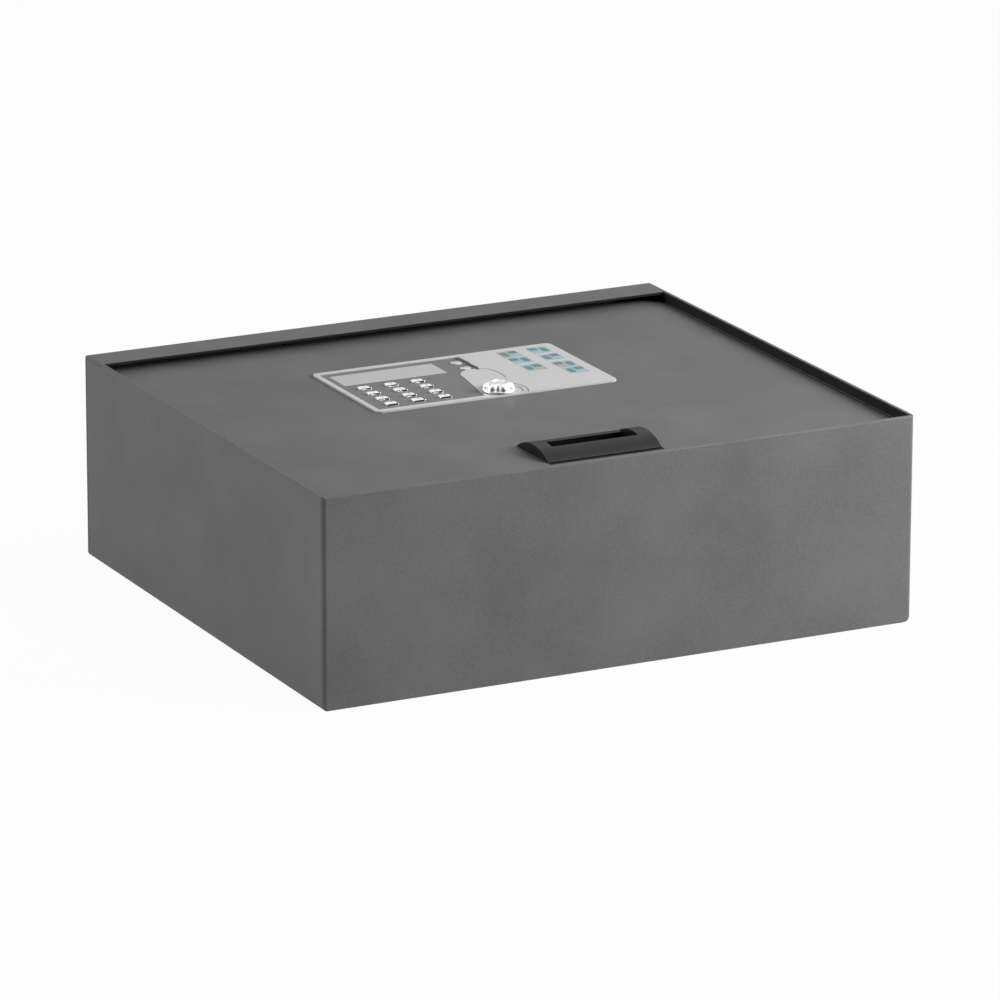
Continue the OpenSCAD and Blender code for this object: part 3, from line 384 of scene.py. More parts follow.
def grey_film(tree, place, colours):
    """The keypad's printed polyester film: matt mid grey with a fine texture and a soft shine."""
    grains = add(tree, "ShaderNodeTexNoise", {"Vector": place, "Scale": per_mm(0.7), "Detail": 2.0})
    clouds = add(tree, "ShaderNodeTexNoise", {"Vector": place, "Scale": per_mm(25), "Detail": 2.0})
    tone = add(tree, "ShaderNodeMath", {"Value": clouds, "Value_001": grains}, operation="MULTIPLY")
    relief = add(tree, "ShaderNodeBump", {"Height": grains, "Distance": 0.01 * MM, "Strength": 0.3})
    return {
        "Base Color": {"Factor_Float": tone, "A_Color": shade(colours.film, 0.94),
                       "B_Color": shade(colours.film, 1.1)},
        "Roughness": 0.45, "Normal": relief, "IOR": 1.55, "Specular IOR Level": 0.2}


def display_lens(tree, place, colours):
    """Clear acrylic over a pale, unlit liquid crystal: glossy, with the faint streaks of its polariser."""
    slanted = add(tree, "ShaderNodeMapping", {"Vector": place, "Rotation": (0.0, 0.0, math.radians(25)),
                                              "Scale": (1.0, 9.0, 1.0)})
    streaks = add(tree, "ShaderNodeTexNoise", {"Vector": slanted, "Scale": per_mm(14), "Detail": 2.0})
    return {
        "Base Color": {"Factor_Float": streaks, "A_Color": shade(colours.lens, 0.92),
                       "B_Color": shade(colours.lens, 1.06)},
        "Roughness": 0.16, "IOR": 1.49, "Specular IOR Level": 0.3}


def black_abs(tree, place, colours):
    """Moulded ABS with a semi-gloss face: near black, and bright only where it mirrors a lamp."""
    grains = add(tree, "ShaderNodeTexNoise", {"Vector": place, "Scale": per_mm(0.6), "Detail": 2.0})
    clouds = add(tree, "ShaderNodeTexNoise", {"Vector": place, "Scale": per_mm(18), "Detail": 3.0})
    relief = add(tree, "ShaderNodeBump", {"Height": grains, "Distance": 0.015 * MM, "Strength": 0.4})
    shine = add(tree, "ShaderNodeMapRange", {"Value": clouds, "To Min": 0.3, "To Max": 0.42})
    return {
        "Base Color": {"Factor_Float": clouds, "A_Color": shade(colours.handle, 0.8),
                       "B_Color": shade(colours.handle, 1.25)},
        "Roughness": shine, "Normal": relief, "IOR": 1.54, "Specular IOR Level": 0.24}


def nitrile_rubber(tree, place, colours):
    """Black nitrile rubber, moulded: dead matt with a dusty bloom."""
    bloom = add(tree, "ShaderNodeTexNoise", {"Vector": place, "Scale": per_mm(4), "Detail": 4.0})
    return {
        "Base Color": {"Factor_Float": bloom, "A_Color": linear("#161616"), "B_Color": linear("#2A2A2A")},
        "Roughness": 0.8, "IOR": 1.5, "Specular IOR Level": 0.2}


def needled_felt(tree, place, colours):
    """Needled polyester felt: a dark heather of short fibres that lie every way, and drink the light."""
    along = add(tree, "ShaderNodeMapping", {"Vector": place, "Scale": (1.0, 5.0, 1.0)})
    across = add(tree, "ShaderNodeMapping", {"Vector": place, "Scale": (5.0, 1.0, 1.0)})
    # Fibres of 0.03 mm can't show, so they are drawn as wisps about 1.2 mm wide
    wisps = add(tree, "ShaderNodeTexNoise", {"Vector": along, "Scale": per_mm(6), "Detail": 4.0})
    crossed = add(tree, "ShaderNodeTexNoise", {"Vector": across, "Scale": per_mm(6), "Detail": 4.0})
    fibres = add(tree, "ShaderNodeMath", {"Value": wisps, "Value_001": crossed}, operation="MULTIPLY")
    tone = add(tree, "ShaderNodeMapRange", {"Value": fibres, "From Min": 0.12, "From Max": 0.4})
    relief = add(tree, "ShaderNodeBump", {"Height": fibres, "Distance": 0.4 * MM, "Strength": 0.7})
    return {
        "Base Color": {"Factor_Float": tone, "A_Color": shade(colours.felt, 0.6),
                       "B_Color": shade(colours.felt, 1.7)},
        "Roughness": 0.95, "Normal": relief, "Sheen Weight": 0.35, "Sheen Roughness": 0.5}


def turned_brass(tree, place, colours):
    """Free-cutting brass, turned and left bare: warm metal with a fine grain and a little tarnish."""
    tarnish = add(tree, "ShaderNodeTexNoise", {"Vector": place, "Scale": per_mm(5), "Detail": 4.0})
    grain = add(tree, "ShaderNodeTexNoise", {"Vector": place, "Scale": per_mm(0.8), "Detail": 1.0})
    relief = add(tree, "ShaderNodeBump", {"Height": grain, "Distance": 0.01 * MM, "Strength": 0.3})
    shine = add(tree, "ShaderNodeMapRange", {"Value": tarnish, "To Min": 0.2, "To Max": 0.4})
    return {
        "Base Color": {"Factor_Float": tarnish, "A_Color": shade(colours.brass, 0.6),
                       "B_Color": colours.brass},
        "Metallic": 1.0, "Roughness": shine, "Normal": relief}


def white_acetal(tree, place, colours):
    """Natural acetal, machined: a waxy white that slides well."""
    marks = add(tree, "ShaderNodeTexNoise", {"Vector": place, "Scale": per_mm(2), "Detail": 3.0})
    return {
        "Base Color": {"Factor_Float": marks, "A_Color": linear("#D3D3CC"), "B_Color": linear("#E6E6E0")},
        "Roughness": 0.4, "IOR": 1.48, "Subsurface Weight": 0.05}


def solder_mask(tree, place, colours):
    """Green solder mask on glass epoxy: glossy, with the weave of the glass just showing."""
    weave = add(tree, "ShaderNodeTexWave", {"Vector": place, "Scale": per_mm(6), "Distortion": 1.0})
    return {
        "Base Color": {"Factor_Float": weave, "A_Color": linear("#14502F"), "B_Color": linear("#1B6139")},
        "Roughness": 0.3, "IOR": 1.55}


def battery_film(tree, place, colours):
    """Shrink film round a dry cell: dark, with a copper band at the positive end and a glossy skin."""
    # The cells lie along X, with their positive ends at the high side
    along = add(tree, "ShaderNodeSeparateXYZ", {"Vector": place})
    band_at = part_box("batteries")[1].x - CELL_BAND
    band = add(tree, "ShaderNodeMath", {"Value": along, "Value_001": band_at}, operation="GREATER_THAN")
    wear = add(tree, "ShaderNodeTexNoise", {"Vector": place, "Scale": per_mm(3), "Detail": 3.0})
    shine = add(tree, "ShaderNodeMapRange", {"Value": wear, "To Min": 0.18, "To Max": 0.34})
    return {
        "Base Color": {"Factor_Float": band, "A_Color": linear("#232427"), "B_Color": linear("#B4743A")},
        "Roughness": shine, "IOR": 1.5, "Coat Weight": 0.4}


def red_pvc(tree, place, colours):
    """Extruded PVC insulation: a soft red shine with a faint grain."""
    grain = add(tree, "ShaderNodeTexNoise", {"Vector": place, "Scale": per_mm(1.5), "Detail": 2.0})
    return {
        "Base Color": {"Factor_Float": grain, "A_Color": linear("#7E1414"), "B_Color": linear("#A01D1B")},
        "Roughness": 0.4, "IOR": 1.53}


def ink(tree, place, rgb):
    """Screen ink on the fascia: flat colour with the small unevenness of a print."""
    spread = add(tree, "ShaderNodeTexNoise", {"Vector": place, "Scale": per_mm(1.2), "Detail": 2.0})
    return {
        "Base Color": {"Factor_Float": spread, "A_Color": shade(rgb, 0.9), "B_Color": shade(rgb, 1.1)},
        "Roughness": 0.45, "IOR": 1.5}


# Building blocks for pieces


def object_from(form, name, materials=()):
    """Makes an object of a finished bmesh."""
    mesh = bpy.data.meshes.new(name)
    form.to_mesh(mesh)
    form.free()
    for material in materials:
        mesh.materials.append(material)
    made = bpy.data.objects.new(name, mesh)
    bpy.context.scene.collection.objects.link(made)
    return made


def piece_from(form, name, materials, node=None, body=None):
    """Makes a piece of a finished bmesh, which rides with its node's body and stands in for that node."""
    bmesh.ops.recalc_face_normals(form, faces=form.faces)
    piece = object_from(form, name, materials)
    piece.data.shade_smooth()
    piece.data.set_sharp_from_angle(angle=SHARP)
    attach(piece, body or BODY_OF[node])
    if node:
        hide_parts(node)
    return piece


def merged_copy(node):
    """A CAD node's surfaces as one merged mesh, with its flat faces whole again."""
    bare = frame["nodes"][node].data.copy()
    if "custom_normal" in bare.attributes:
        bare.attributes.remove(bare.attributes["custom_normal"])
    form = bmesh.new()
    form.from_mesh(bare)
    bpy.data.meshes.remove(bare)
    bmesh.ops.remove_doubles(form, verts=form.verts, dist=WELD)
    bmesh.ops.dissolve_limit(form, angle_limit=FLAT, verts=form.verts, edges=form.edges)
    return form


def rounded(node, material, radius, segments=2):
    """Stands for a CAD node with the same surfaces, whose sharp edges are rounded."""
    piece = piece_from(merged_copy(node), node + "_rounded", [material], node)
    soften(piece, radius, segments)
    return piece


def soften(piece, radius, segments=2):
    """Rounds a piece's sharp edges."""
    edges = piece.modifiers.new("rounded_edges", "BEVEL")
    edges.width = radius
    edges.segments = segments
    edges.limit_method = "ANGLE"
    edges.angle_limit = SHARP
    edges.profile = 0.5
    edges.harden_normals = True


def dress(node, material):
    """Gives a CAD node that keeps its own mesh a better material."""
    frame["nodes"][node].data.materials[0] = material


def plate(form, low, high, z, thick, corner=0.0, segments=4):
    """A level plate between two corners, with its own corners rounded, standing up from a height."""
    before = set(form.faces)
    verts = bmesh.ops.create_grid(form, x_segments=1, y_segments=1, size=0.5)["verts"]
    bmesh.ops.scale(form, vec=(high[0] - low[0], high[1] - low[1], 1.0), verts=verts)
    bmesh.ops.translate(form, vec=((low[0] + high[0]) / 2, (low[1] + high[1]) / 2, z), verts=verts)
    if corner:
        bmesh.ops.bevel(form, geom=verts, offset=corner, affect="VERTICES", segments=segments, profile=0.5,
                        material=-1)
    flat = [f for f in form.faces if f not in before]
    made = bmesh.ops.extrude_face_region(form, geom=flat)["geom"]
    verts = [e for e in made if isinstance(e, bmesh.types.BMVert)]
    bmesh.ops.translate(form, vec=(0.0, 0.0, thick), verts=verts)


def turned(form, profile, steps):
    """Spins points of (radius, height) right round the upright axis through the origin."""
    verts = [form.verts.new((radius, 0.0, height)) for radius, height in profile]
    edges = [form.edges.new(pair) for pair in zip(verts, verts[1:])]
    bmesh.ops.spin(form, geom=verts + edges, cent=(0, 0, 0), axis=(0, 0, 1), dvec=(0, 0, 0),
                   angle=math.tau, steps=steps, use_merge=True)
    bmesh.ops.remove_doubles(form, verts=form.verts, dist=WELD)


def sliced(form, axis, start, end, step):
    """Cuts a form across at equal steps, so that it can bend."""
    for i in range(1, math.ceil((end - start) / step)):
        place = [0.0, 0.0, 0.0]
        place[axis] = start + i * step
        normal = [float(k == axis) for k in range(3)]
        bmesh.ops.bisect_plane(form, geom=list(form.verts) + list(form.edges) + list(form.faces), dist=WELD,
                               plane_co=place, plane_no=normal)


def mesh_of(curve):
    """The mesh of a text or a curve, whose own data is removed."""
    shown = bpy.data.objects.new("outline", curve)
    bpy.context.scene.collection.objects.link(shown)
    mesh = bpy.data.meshes.new_from_object(shown.evaluated_get(bpy.context.evaluated_depsgraph_get()))
    bpy.data.objects.remove(shown)
    bpy.data.curves.remove(curve)
    return mesh


def printed_line(form, points, width, thick):
    """A line of ink along points of (x, y) on the fascia, smooth where it turns."""
    curve = bpy.data.curves.new("line", "CURVE")
    curve.dimensions = "3D"
    curve.bevel_depth = width / 2
    curve.bevel_resolution = 2
    curve.use_fill_caps = True
    spline = curve.splines.new("NURBS")
    spline.points.add(len(points) - 1)
    for spot, (x, y) in zip(spline.points, points):
        spot.co = (x, y, 0.0, 1.0)
    spline.order_u = 3
    spline.resolution_u = 4
    spline.use_endpoint_u = True
    mesh = mesh_of(curve)
    before = set(form.verts)
    form.from_mesh(mesh)
    bpy.data.meshes.remove(mesh)
    verts = [v for v in form.verts if v not in before]
    bmesh.ops.scale(form, vec=(1.0, 1.0, thick / width), verts=verts)
    bmesh.ops.translate(form, vec=(0.0, 0.0, FASCIA_TOP + thick / 2), verts=verts)


def arc_points(centre, radius, start, end, count):
    """Points along an arc, its angles in degrees."""
    angles = [math.radians(start + (end - start) * i / (count - 1)) for i in range(count)]
    return [(centre[0] + radius * math.cos(a), centre[1] + radius * math.sin(a)) for a in angles]


# The pieces


class SAFE_OT_body(bpy.types.Operator):
    """Paints the folded sheets of the body, the front panel and the ledges"""
    bl_idname = "safe.body"
    bl_label = "Body"

    def execute(self, context):
        sizes = context.scene.safe_sizes
        for node in ("body_shell", "front_panel", "rear_panel", "front_ledge", "left_ledge", "right_ledge"):
            rounded(node, material_of(powder_paint), sizes.paint_round)
        return {"FINISHED"}


class SAFE_OT_interior(bpy.types.Operator):
    """Lays the felt mat, and finishes the buffers and the fixed halves of the hinges"""
    bl_idname = "safe.interior"
    bl_label = "Interior"

    def execute(self, context):
        sizes = context.scene.safe_sizes
        form = merged_copy("floor_mat")
        for axis in (0, 1):
            sliced(form, axis, MAT_LOW[axis], MAT_HIGH[axis], sizes.mat_wave / 3)
        middle = (MAT_LOW.z + MAT_HIGH.z) / 2
        for v in form.verts:
            if v.co.z > middle:
                # Lower waves, a quarter as wide, ride on the wide ones
                wide = v.co / sizes.mat_wave
                lie = noise.noise(wide) + 0.4 * noise.noise(4 * wide)
                v.co.z -= sizes.mat_slack * (0.5 + 0.35 * lie)
        mat = piece_from(form, "felt_mat", [material_of(needled_felt)], "floor_mat")
        soften(mat, 2 * sizes.part_round)
        rounded("lid_buffers", material_of(nitrile_rubber), sizes.part_round)
        # The dust seal lines the inner walls in black rubber, and reaches down into the gap beside the lid,
        # where its black is painted shade
        rounded("dust_seal", material_of(nitrile_rubber), sizes.part_round / 2)
        for node in ("left_hinge_bracket", "right_hinge_bracket", "hinge_pins"):
            rounded(node, material_of(zinc_plate), sizes.part_round)
        return {"FINISHED"}


class SAFE_OT_lid(bpy.types.Operator):
    """Paints the lid plate, the lock's cover and the battery door, and finishes the hinge leaves"""
    bl_idname = "safe.lid"
    bl_label = "Lid"

    def execute(self, context):
        sizes = context.scene.safe_sizes
        for node in ("lid_plate", "lock_cover", "battery_door"):
            rounded(node, material_of(powder_paint), sizes.paint_round)
        for node in ("left_hinge_leaf", "right_hinge_leaf"):
            rounded(node, material_of(zinc_plate), sizes.part_round)
        return {"FINISHED"}


class SAFE_OT_fascia(bpy.types.Operator):
    """Finishes the silver fascia, the keypad's film and the display"""
    bl_idname = "safe.fascia"
    bl_label = "Fascia"

    def execute(self, context):
        sizes = context.scene.safe_sizes
        rounded("fascia", material_of(silver_print), sizes.part_round / 2)
        rounded("display_window", material_of(display_lens), sizes.part_round / 2)
        dress("keypad_overlay", material_of(grey_film))
        return {"FINISHED"}


class SAFE_OT_prints(bpy.types.Operator):
    """Paints a shadow line along the recess by the function keys, and prints the line and the arcs by the
    knob and the plain pictograms
    """
    bl_idname = "safe.prints"
    bl_label = "Prints"

    def execute(self, context):
        sizes = context.scene.safe_sizes
        inks = context.scene.safe_colours
        black, grey = bmesh.new(), bmesh.new()
        # The black line is painted shadow along the edge of the film's recess, past both function keys
        line = [on_fascia(*RECESS_SHADOW_START)]
        for key in FUNCTION_KEYS:
            low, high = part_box(key)
            key_at = (low + high) / 2
            side = key_at.x + sizes.key_line_gap
            line += [(side + x * MM, key_at.y + y * MM) for x, y in RECESS_SHADOW_BEND]
        printed_line(black, line, sizes.key_line_w, sizes.ink_t)
        sweep = line[-1:] + [on_fascia(*spot) for spot in LINE_SWEEP]
        printed_line(grey, sweep, sizes.thin_line_w, sizes.ink_t)
        for radius in (sizes.inner_arc_r, sizes.outer_arc_r):
            arc = arc_points((KNOB_AT.x, KNOB_AT.y), radius, ARC_START, ARC_END, ARC_POINTS)
            printed_line(grey, arc, sizes.thin_line_w, sizes.ink_t)
        self.print_from(black, "key_line_print", "black_ink", inks.ink_black)
        self.print_from(grey, "knob_line_prints", "grey_ink", inks.ink_line)
        forms = {name: bmesh.new() for name in ("teal", "blue", "olive", "rose")}
        for number, (x, y, first, second) in enumerate(PICTOGRAMS):
            pictogram(forms, on_fascia(x, y), first, second, number % 2, sizes)
        for name, form in forms.items():
            self.print_from(form, name + "_pictograms", name + "_ink", getattr(inks, "ink_" + name))
        return {"FINISHED"}

    def print_from(self, form, name, ink_name, rgb):
        piece_from(form, name, [surfaced(ink_name, ink, rgb)], body="lid")


def on_fascia(x, y):
    """A place given in millimetres from the fascia's centre."""
    centre = (FASCIA_LOW + FASCIA_HIGH) / 2
    return centre.x + x * MM, centre.y + y * MM


def pictogram(forms, at, first, second, turned_round, sizes):
    """Prints two small fields side by side, one with an oval and one with a block."""
    half_w, half_l = sizes.picture_w / 2, sizes.picture_l / 2
    for side, name in ((-1, first), (1, second)):
        x, y = at[0] + side * half_w / 2, at[1]
        low, high = (x - half_w / 2, y - half_l), (x + half_w / 2, y + half_l)
        plate(forms[name], low, high, FASCIA_TOP, sizes.ink_t, sizes.picture_corner)
        if (side > 0) == bool(turned_round):
            reach_w, back, ahead, corner = OVAL_W * half_w, OVAL_L * half_l, OVAL_L * half_l, OVAL_CORNER
        else:
            reach_w, back, ahead, corner = BLOCK_W * half_w, BLOCK_L * half_l, 0.0, BLOCK_CORNER
        low, high = (x - reach_w, y - ahead), (x + reach_w, y + back)
        plate(forms["teal"], low, high, FASCIA_TOP + sizes.ink_t, sizes.ink_t, corner * half_w)


def crown_height(sizes, x, y, half_w, half_l, top):
    """Height of a key's top off its centre: it slopes forwards, and drops at its rear, ends and front."""
    ahead = -y / half_l
    if ahead < CROWN_REAR:
        lost = min(1.0, ((ahead - CROWN_REAR) / (1.0 + CROWN_REAR)) ** 2)
    elif ahead < CROWN_FRONT:
        lost = CROWN_SLOPE * ((ahead - CROWN_REAR) / (CROWN_FRONT - CROWN_REAR)) ** CROWN_BEND
    else:
        lost = min(1.0, CROWN_SLOPE + CROWN_STEEP * (ahead - CROWN_FRONT))
    ends = 1.0 - math.sqrt(1.0 - min(1.0, abs(x / half_w) ** CROWN_SQUARE))
    return top - sizes.key_crown * (1.0 - (1.0 - lost) * (1.0 - ends))


class SAFE_OT_keys(bpy.types.Operator):
    """Shapes the plated keys, with a printed digit on each number key"""
    bl_idname = "safe.keys"
    bl_label = "Keys"

    def execute(self, context):
        sizes = context.scene.safe_sizes
        metal = material_of(chrome_plate)
        legend = surfaced("key_legend", ink, linear("#8A8C8E"))
        for node, character in NUMBER_KEYS.items():
            low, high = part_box(node)
            form = key_form(sizes, low, high, sizes.key_crown, sizes.key_corner)
            centre = (low + high) / 2
            half_w, half_l = (high.x - low.x) / 2 - sizes.key_flange, (high.y - low.y) / 2 - sizes.key_flange
            self.print_digit(form, sizes, character, centre, half_w, half_l, high.z)
            piece_from(form, node + "_cap", [metal, legend], node)
        for node in FUNCTION_KEYS:
            low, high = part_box(node)
            oval = (high.y - low.y) / 2 - sizes.key_flange - OVAL_STRAIGHT
            form = key_form(sizes, low, high, sizes.key_crown * FUNCTION_CROWN, oval)
            piece_from(form, node + "_cap", [material_of(silver_print)], node)
        return {"FINISHED"}

    def print_digit(self, form, sizes, character, centre, half_w, half_l, top):
        """Prints a digit on a key's form, bent to its crown."""
        text = bpy.data.curves.new("digit", "FONT")
        text.body = character
        text.size = sizes.digit_size
        text.align_x, text.align_y = "CENTER", "CENTER"
        text.extrude = sizes.ink_t
        mesh = mesh_of(text)
        digit = bmesh.new()
        digit.from_mesh(mesh)
        sliced(digit, 1, -half_l, half_l, half_l / KEY_CUTS)
        for v in digit.verts:
            v.co.z += crown_height(sizes, v.co.x, v.co.y, half_w, half_l, top) - DIGIT_SUNK * sizes.ink_t
        bmesh.ops.translate(digit, vec=(centre.x, centre.y, 0.0), verts=digit.verts)
        digit.to_mesh(mesh)
        digit.free()
        before = set(form.faces)
        form.from_mesh(mesh)
        bpy.data.meshes.remove(mesh)
        for face in set(form.faces) - before:
            face.material_index = 1


def key_form(sizes, low, high, crown, corner):
    """A key with its flange below and a domed top."""
    form = bmesh.new()
    plate(form, low, high, low.z, sizes.key_flange_t)
    inner = Vector((sizes.key_flange, sizes.key_flange))
    inner_low, inner_high = low.xy + inner, high.xy - inner
    half_w, half_l = (inner_high - inner_low) / 2
    centre = (inner_low + inner_high) / 2
    start = low.z + sizes.key_flange_t
    plate(form, inner_low, inner_high, start, high.z - crown - start, corner, segments=6)
    for axis in (0, 1):
        sliced(form, axis, inner_low[axis], inner_high[axis], half_l / KEY_CUTS)
    for v in form.verts:
        if v.co.z > high.z - crown - WELD:
            steep = crown_height(sizes, v.co.x - centre.x, v.co.y - centre.y, half_w, half_l, high.z)
            v.co.z = high.z - (high.z - steep) * crown / sizes.key_crown
    return form


class SAFE_OT_knob(bpy.types.Operator):
    """Turns the scalloped knob and its cap, over the spindle in its bush"""
    bl_idname = "safe.knob"
    bl_label = "Knob"

    def execute(self, context):
        sizes = context.scene.safe_sizes
        metal = material_of(worn_chrome)
        cap_low, cap_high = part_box("knob_cap")
        base, top = KNOB_LOW.z, KNOB_HIGH.z
        skirt, grip, cap = KNOB_HIGH.x - KNOB_AT.x, sizes.grip_r, (cap_high.x - cap_low.x) / 2
        spindle_low, spindle_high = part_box("knob_spindle")
        bore = (spindle_high.x - spindle_low.x) / 2 + sizes.knob_fit
        bore_top = spindle_high.z + sizes.knob_fit
        outline = [(0, bore_top), (bore, bore_top), (bore, base)]
        outline += [(skirt - inside * MM, base + up * MM) for inside, up in KNOB_SKIRT]
        outline += [(grip - inside * MM, base + up * MM) for inside, up in KNOB_GRIP]
        outline += [(grip - inside * MM, top - down * MM) for inside, down in KNOB_SHOULDER]
        outline += [(cap + outside * MM, top - down * MM) for outside, down in KNOB_SEAT]
        outline += [(outline[-1][0], cap_low.z), (0, cap_low.z)]
        form = bmesh.new()
        turned(form, outline, sizes.lobes * LOBE_STEPS)
        ring = cap + LOBES_RING
        for v in form.verts:
            reach = v.co.xy.length
            if v.co.z > base + LOBES_FROM and reach > ring:
                turn = math.atan2(v.co.y, v.co.x) - math.radians(LOBE_AT)
                off_lobe = (1 - math.cos(sizes.lobes * turn)) / 2
                inward = sizes.scallop * off_lobe ** SCALLOP_BEND * (reach - ring) / (grip - ring)
                v.co.xy *= (reach - inward) / reach
        bmesh.ops.translate(form, vec=(KNOB_AT.x, KNOB_AT.y, 0.0), verts=form.verts)
        piece_from(form, "scalloped_knob", [metal], "knob")
        outline = [(0, cap_low.z), (cap, cap_low.z)]
        outline += [(cap - inside * MM, cap_high.z - down * MM) for inside, down in CAP_EDGE]
        outline += [(share * cap, cap_high.z - down * MM) for share, down in CAP_DISH]
        form = bmesh.new()
        turned(form, outline, CAP_STEPS)
        bmesh.ops.translate(form, vec=(KNOB_AT.x, KNOB_AT.y, 0.0), verts=form.verts)
        piece_from(form, "dished_cap", [metal], "knob_cap")
        dress("knob_spindle", material_of(zinc_plate))
        dress("spindle_bush", material_of(turned_brass))
        return {"FINISHED"}


class SAFE_OT_handle(bpy.types.Operator):
    """Softens the moulded pull handle, and adds the bead along its front and a dark strip before it that is
    painted shadow
    """
    bl_idname = "safe.handle"
    bl_label = "Handle"

    def execute(self, context):
        sizes = context.scene.safe_sizes
        rounded("pull_handle", material_of(black_abs), sizes.handle_round, segments=3)
        low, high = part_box("pull_handle")
        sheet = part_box("lid_plate")[1].z
        # Painted shadow: a dark rubber strip on the lid in front of the handle, where the gap before the
        # handle lies in shade
        form = bmesh.new()
        plate(form, (low.x, low.y - sizes.seal_w), (high.x, low.y), sheet, sizes.seal_t)
        piece_from(form, "handle_seal", [material_of(nitrile_rubber)], body="lid")
        radius = sizes.bead_w / 2
        centre = Vector(((low.x + high.x) / 2, low.y - radius, sheet + sizes.seal_t + radius))
        along_x = Matrix.Translation(centre) @ Matrix.Rotation(math.pi / 2, 4, "Y")
        form = bmesh.new()
        bmesh.ops.create_cone(form, cap_ends=True, segments=24, radius1=radius, radius2=radius,
                              depth=high.x - low.x - 4 * radius, matrix=along_x)
        piece_from(form, "handle_bead", [material_of(black_abs)], body="lid")
        return {"FINISHED"}


class SAFE_OT_lock(bpy.types.Operator):
    """Finishes the lock bolts, their carriage and what drives them"""
    bl_idname = "safe.lock"
    bl_label = "Lock"

    def execute(self, context):
        sizes = context.scene.safe_sizes
        for node in ("lock_bolts", "bolt_carriage", "bolt_guides", "lock_solenoid", "solenoid_plunger"):
            rounded(node, material_of(zinc_plate), sizes.part_round)
        dress("pinion", material_of(turned_brass))
        dress("rack_guide", material_of(white_acetal))
        return {"FINISHED"}


class SAFE_OT_power(bpy.types.Operator):
    """Finishes the cells, their holder, the circuit board and the wires"""
    bl_idname = "safe.power"
    bl_label = "Power"

    def execute(self, context):
        sizes = context.scene.safe_sizes
        rounded("batteries", material_of(battery_film), sizes.part_round)
        for node in ("battery_holder", "display_module", "keypad_housing"):
            dress(node, material_of(black_abs))
        dress("keypad_membrane", material_of(nitrile_rubber))
        dress("circuit_board", material_of(solder_mask))
        dress("battery_contacts", material_of(zinc_plate))
        dress("wire_loom", material_of(red_pvc))
        return {"FINISHED"}


class SAFE_OT_screws(bpy.types.Operator):
    """Cuts the cross recesses of the cover's screws, and finishes the hidden screws"""
    bl_idname = "safe.screws"
    bl_label = "Screws"

    def execute(self, context):
        sizes = context.scene.safe_sizes
        low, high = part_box("cover_screws")
        inset = sizes.screw_head_r
        wide, long = sizes.recess_w / 2, sizes.recess_l / 2
        start, height = low.z - CUT_PAST, CUT_PAST + sizes.recess_d
        cutter = bmesh.new()
        for x in (low.x + inset, high.x - inset):
            for y in (low.y + inset, high.y - inset):
                for half_w, half_l in ((wide, long), (long, wide)):
                    plate(cutter, (x - half_w, y - half_l), (x + half_w, y + half_l), start, height)
        screws = rounded("cover_screws", material_of(zinc_plate), sizes.part_round)
        carve(screws, cutter)
        for node in ("housing_screws", "handle_screws", "cover_posts"):
            dress(node, material_of(zinc_plate))
        return {"FINISHED"}


def carve(piece, cutter):
    """Cuts a form out of a piece, and clears the form away."""
    bmesh.ops.recalc_face_normals(cutter, faces=cutter.faces)
    tool = object_from(cutter, "cutter")
    mesh = tool.data
    cut = piece.modifiers.new("recess", "BOOLEAN")
    cut.operation = "DIFFERENCE"
    cut.object = tool
    cut.solver = "EXACT"
    cut.use_self = True
    shown = bpy.data.meshes.new_from_object(piece.evaluated_get(bpy.context.evaluated_depsgraph_get()))
    piece.modifiers.clear()
    piece.data = shown
    bpy.data.objects.remove(tool)
    bpy.data.meshes.remove(mesh)


# The studio


def softbox(name, at, target, width, height, power):
    """A rectangular lamp that faces a point."""
    lamp = bpy.data.lights.new(name, "AREA")
    lamp.shape = "RECTANGLE"
    lamp.size, lamp.size_y = width, height
    lamp.energy = power
    holder = bpy.data.objects.new(name, lamp)
    holder.location = at
    holder.rotation_euler = (Vector(target) - Vector(at)).to_track_quat("-Z", "Y").to_euler()
    bpy.context.scene.collection.objects.link(holder)


def seen_directly(tree):
    """1 on the rays of the camera, of mirrors and of glass, which see a white background."""
    rays = add(tree, "ShaderNodeLightPath").node.outputs
    seen = rays["Is Camera Ray"]
    for kind in ("Is Glossy Ray", "Is Transmission Ray"):
        seen = add(tree, "ShaderNodeMath", {"Value": seen, "Value_001": rays[kind]}, operation="MAXIMUM")
    return seen


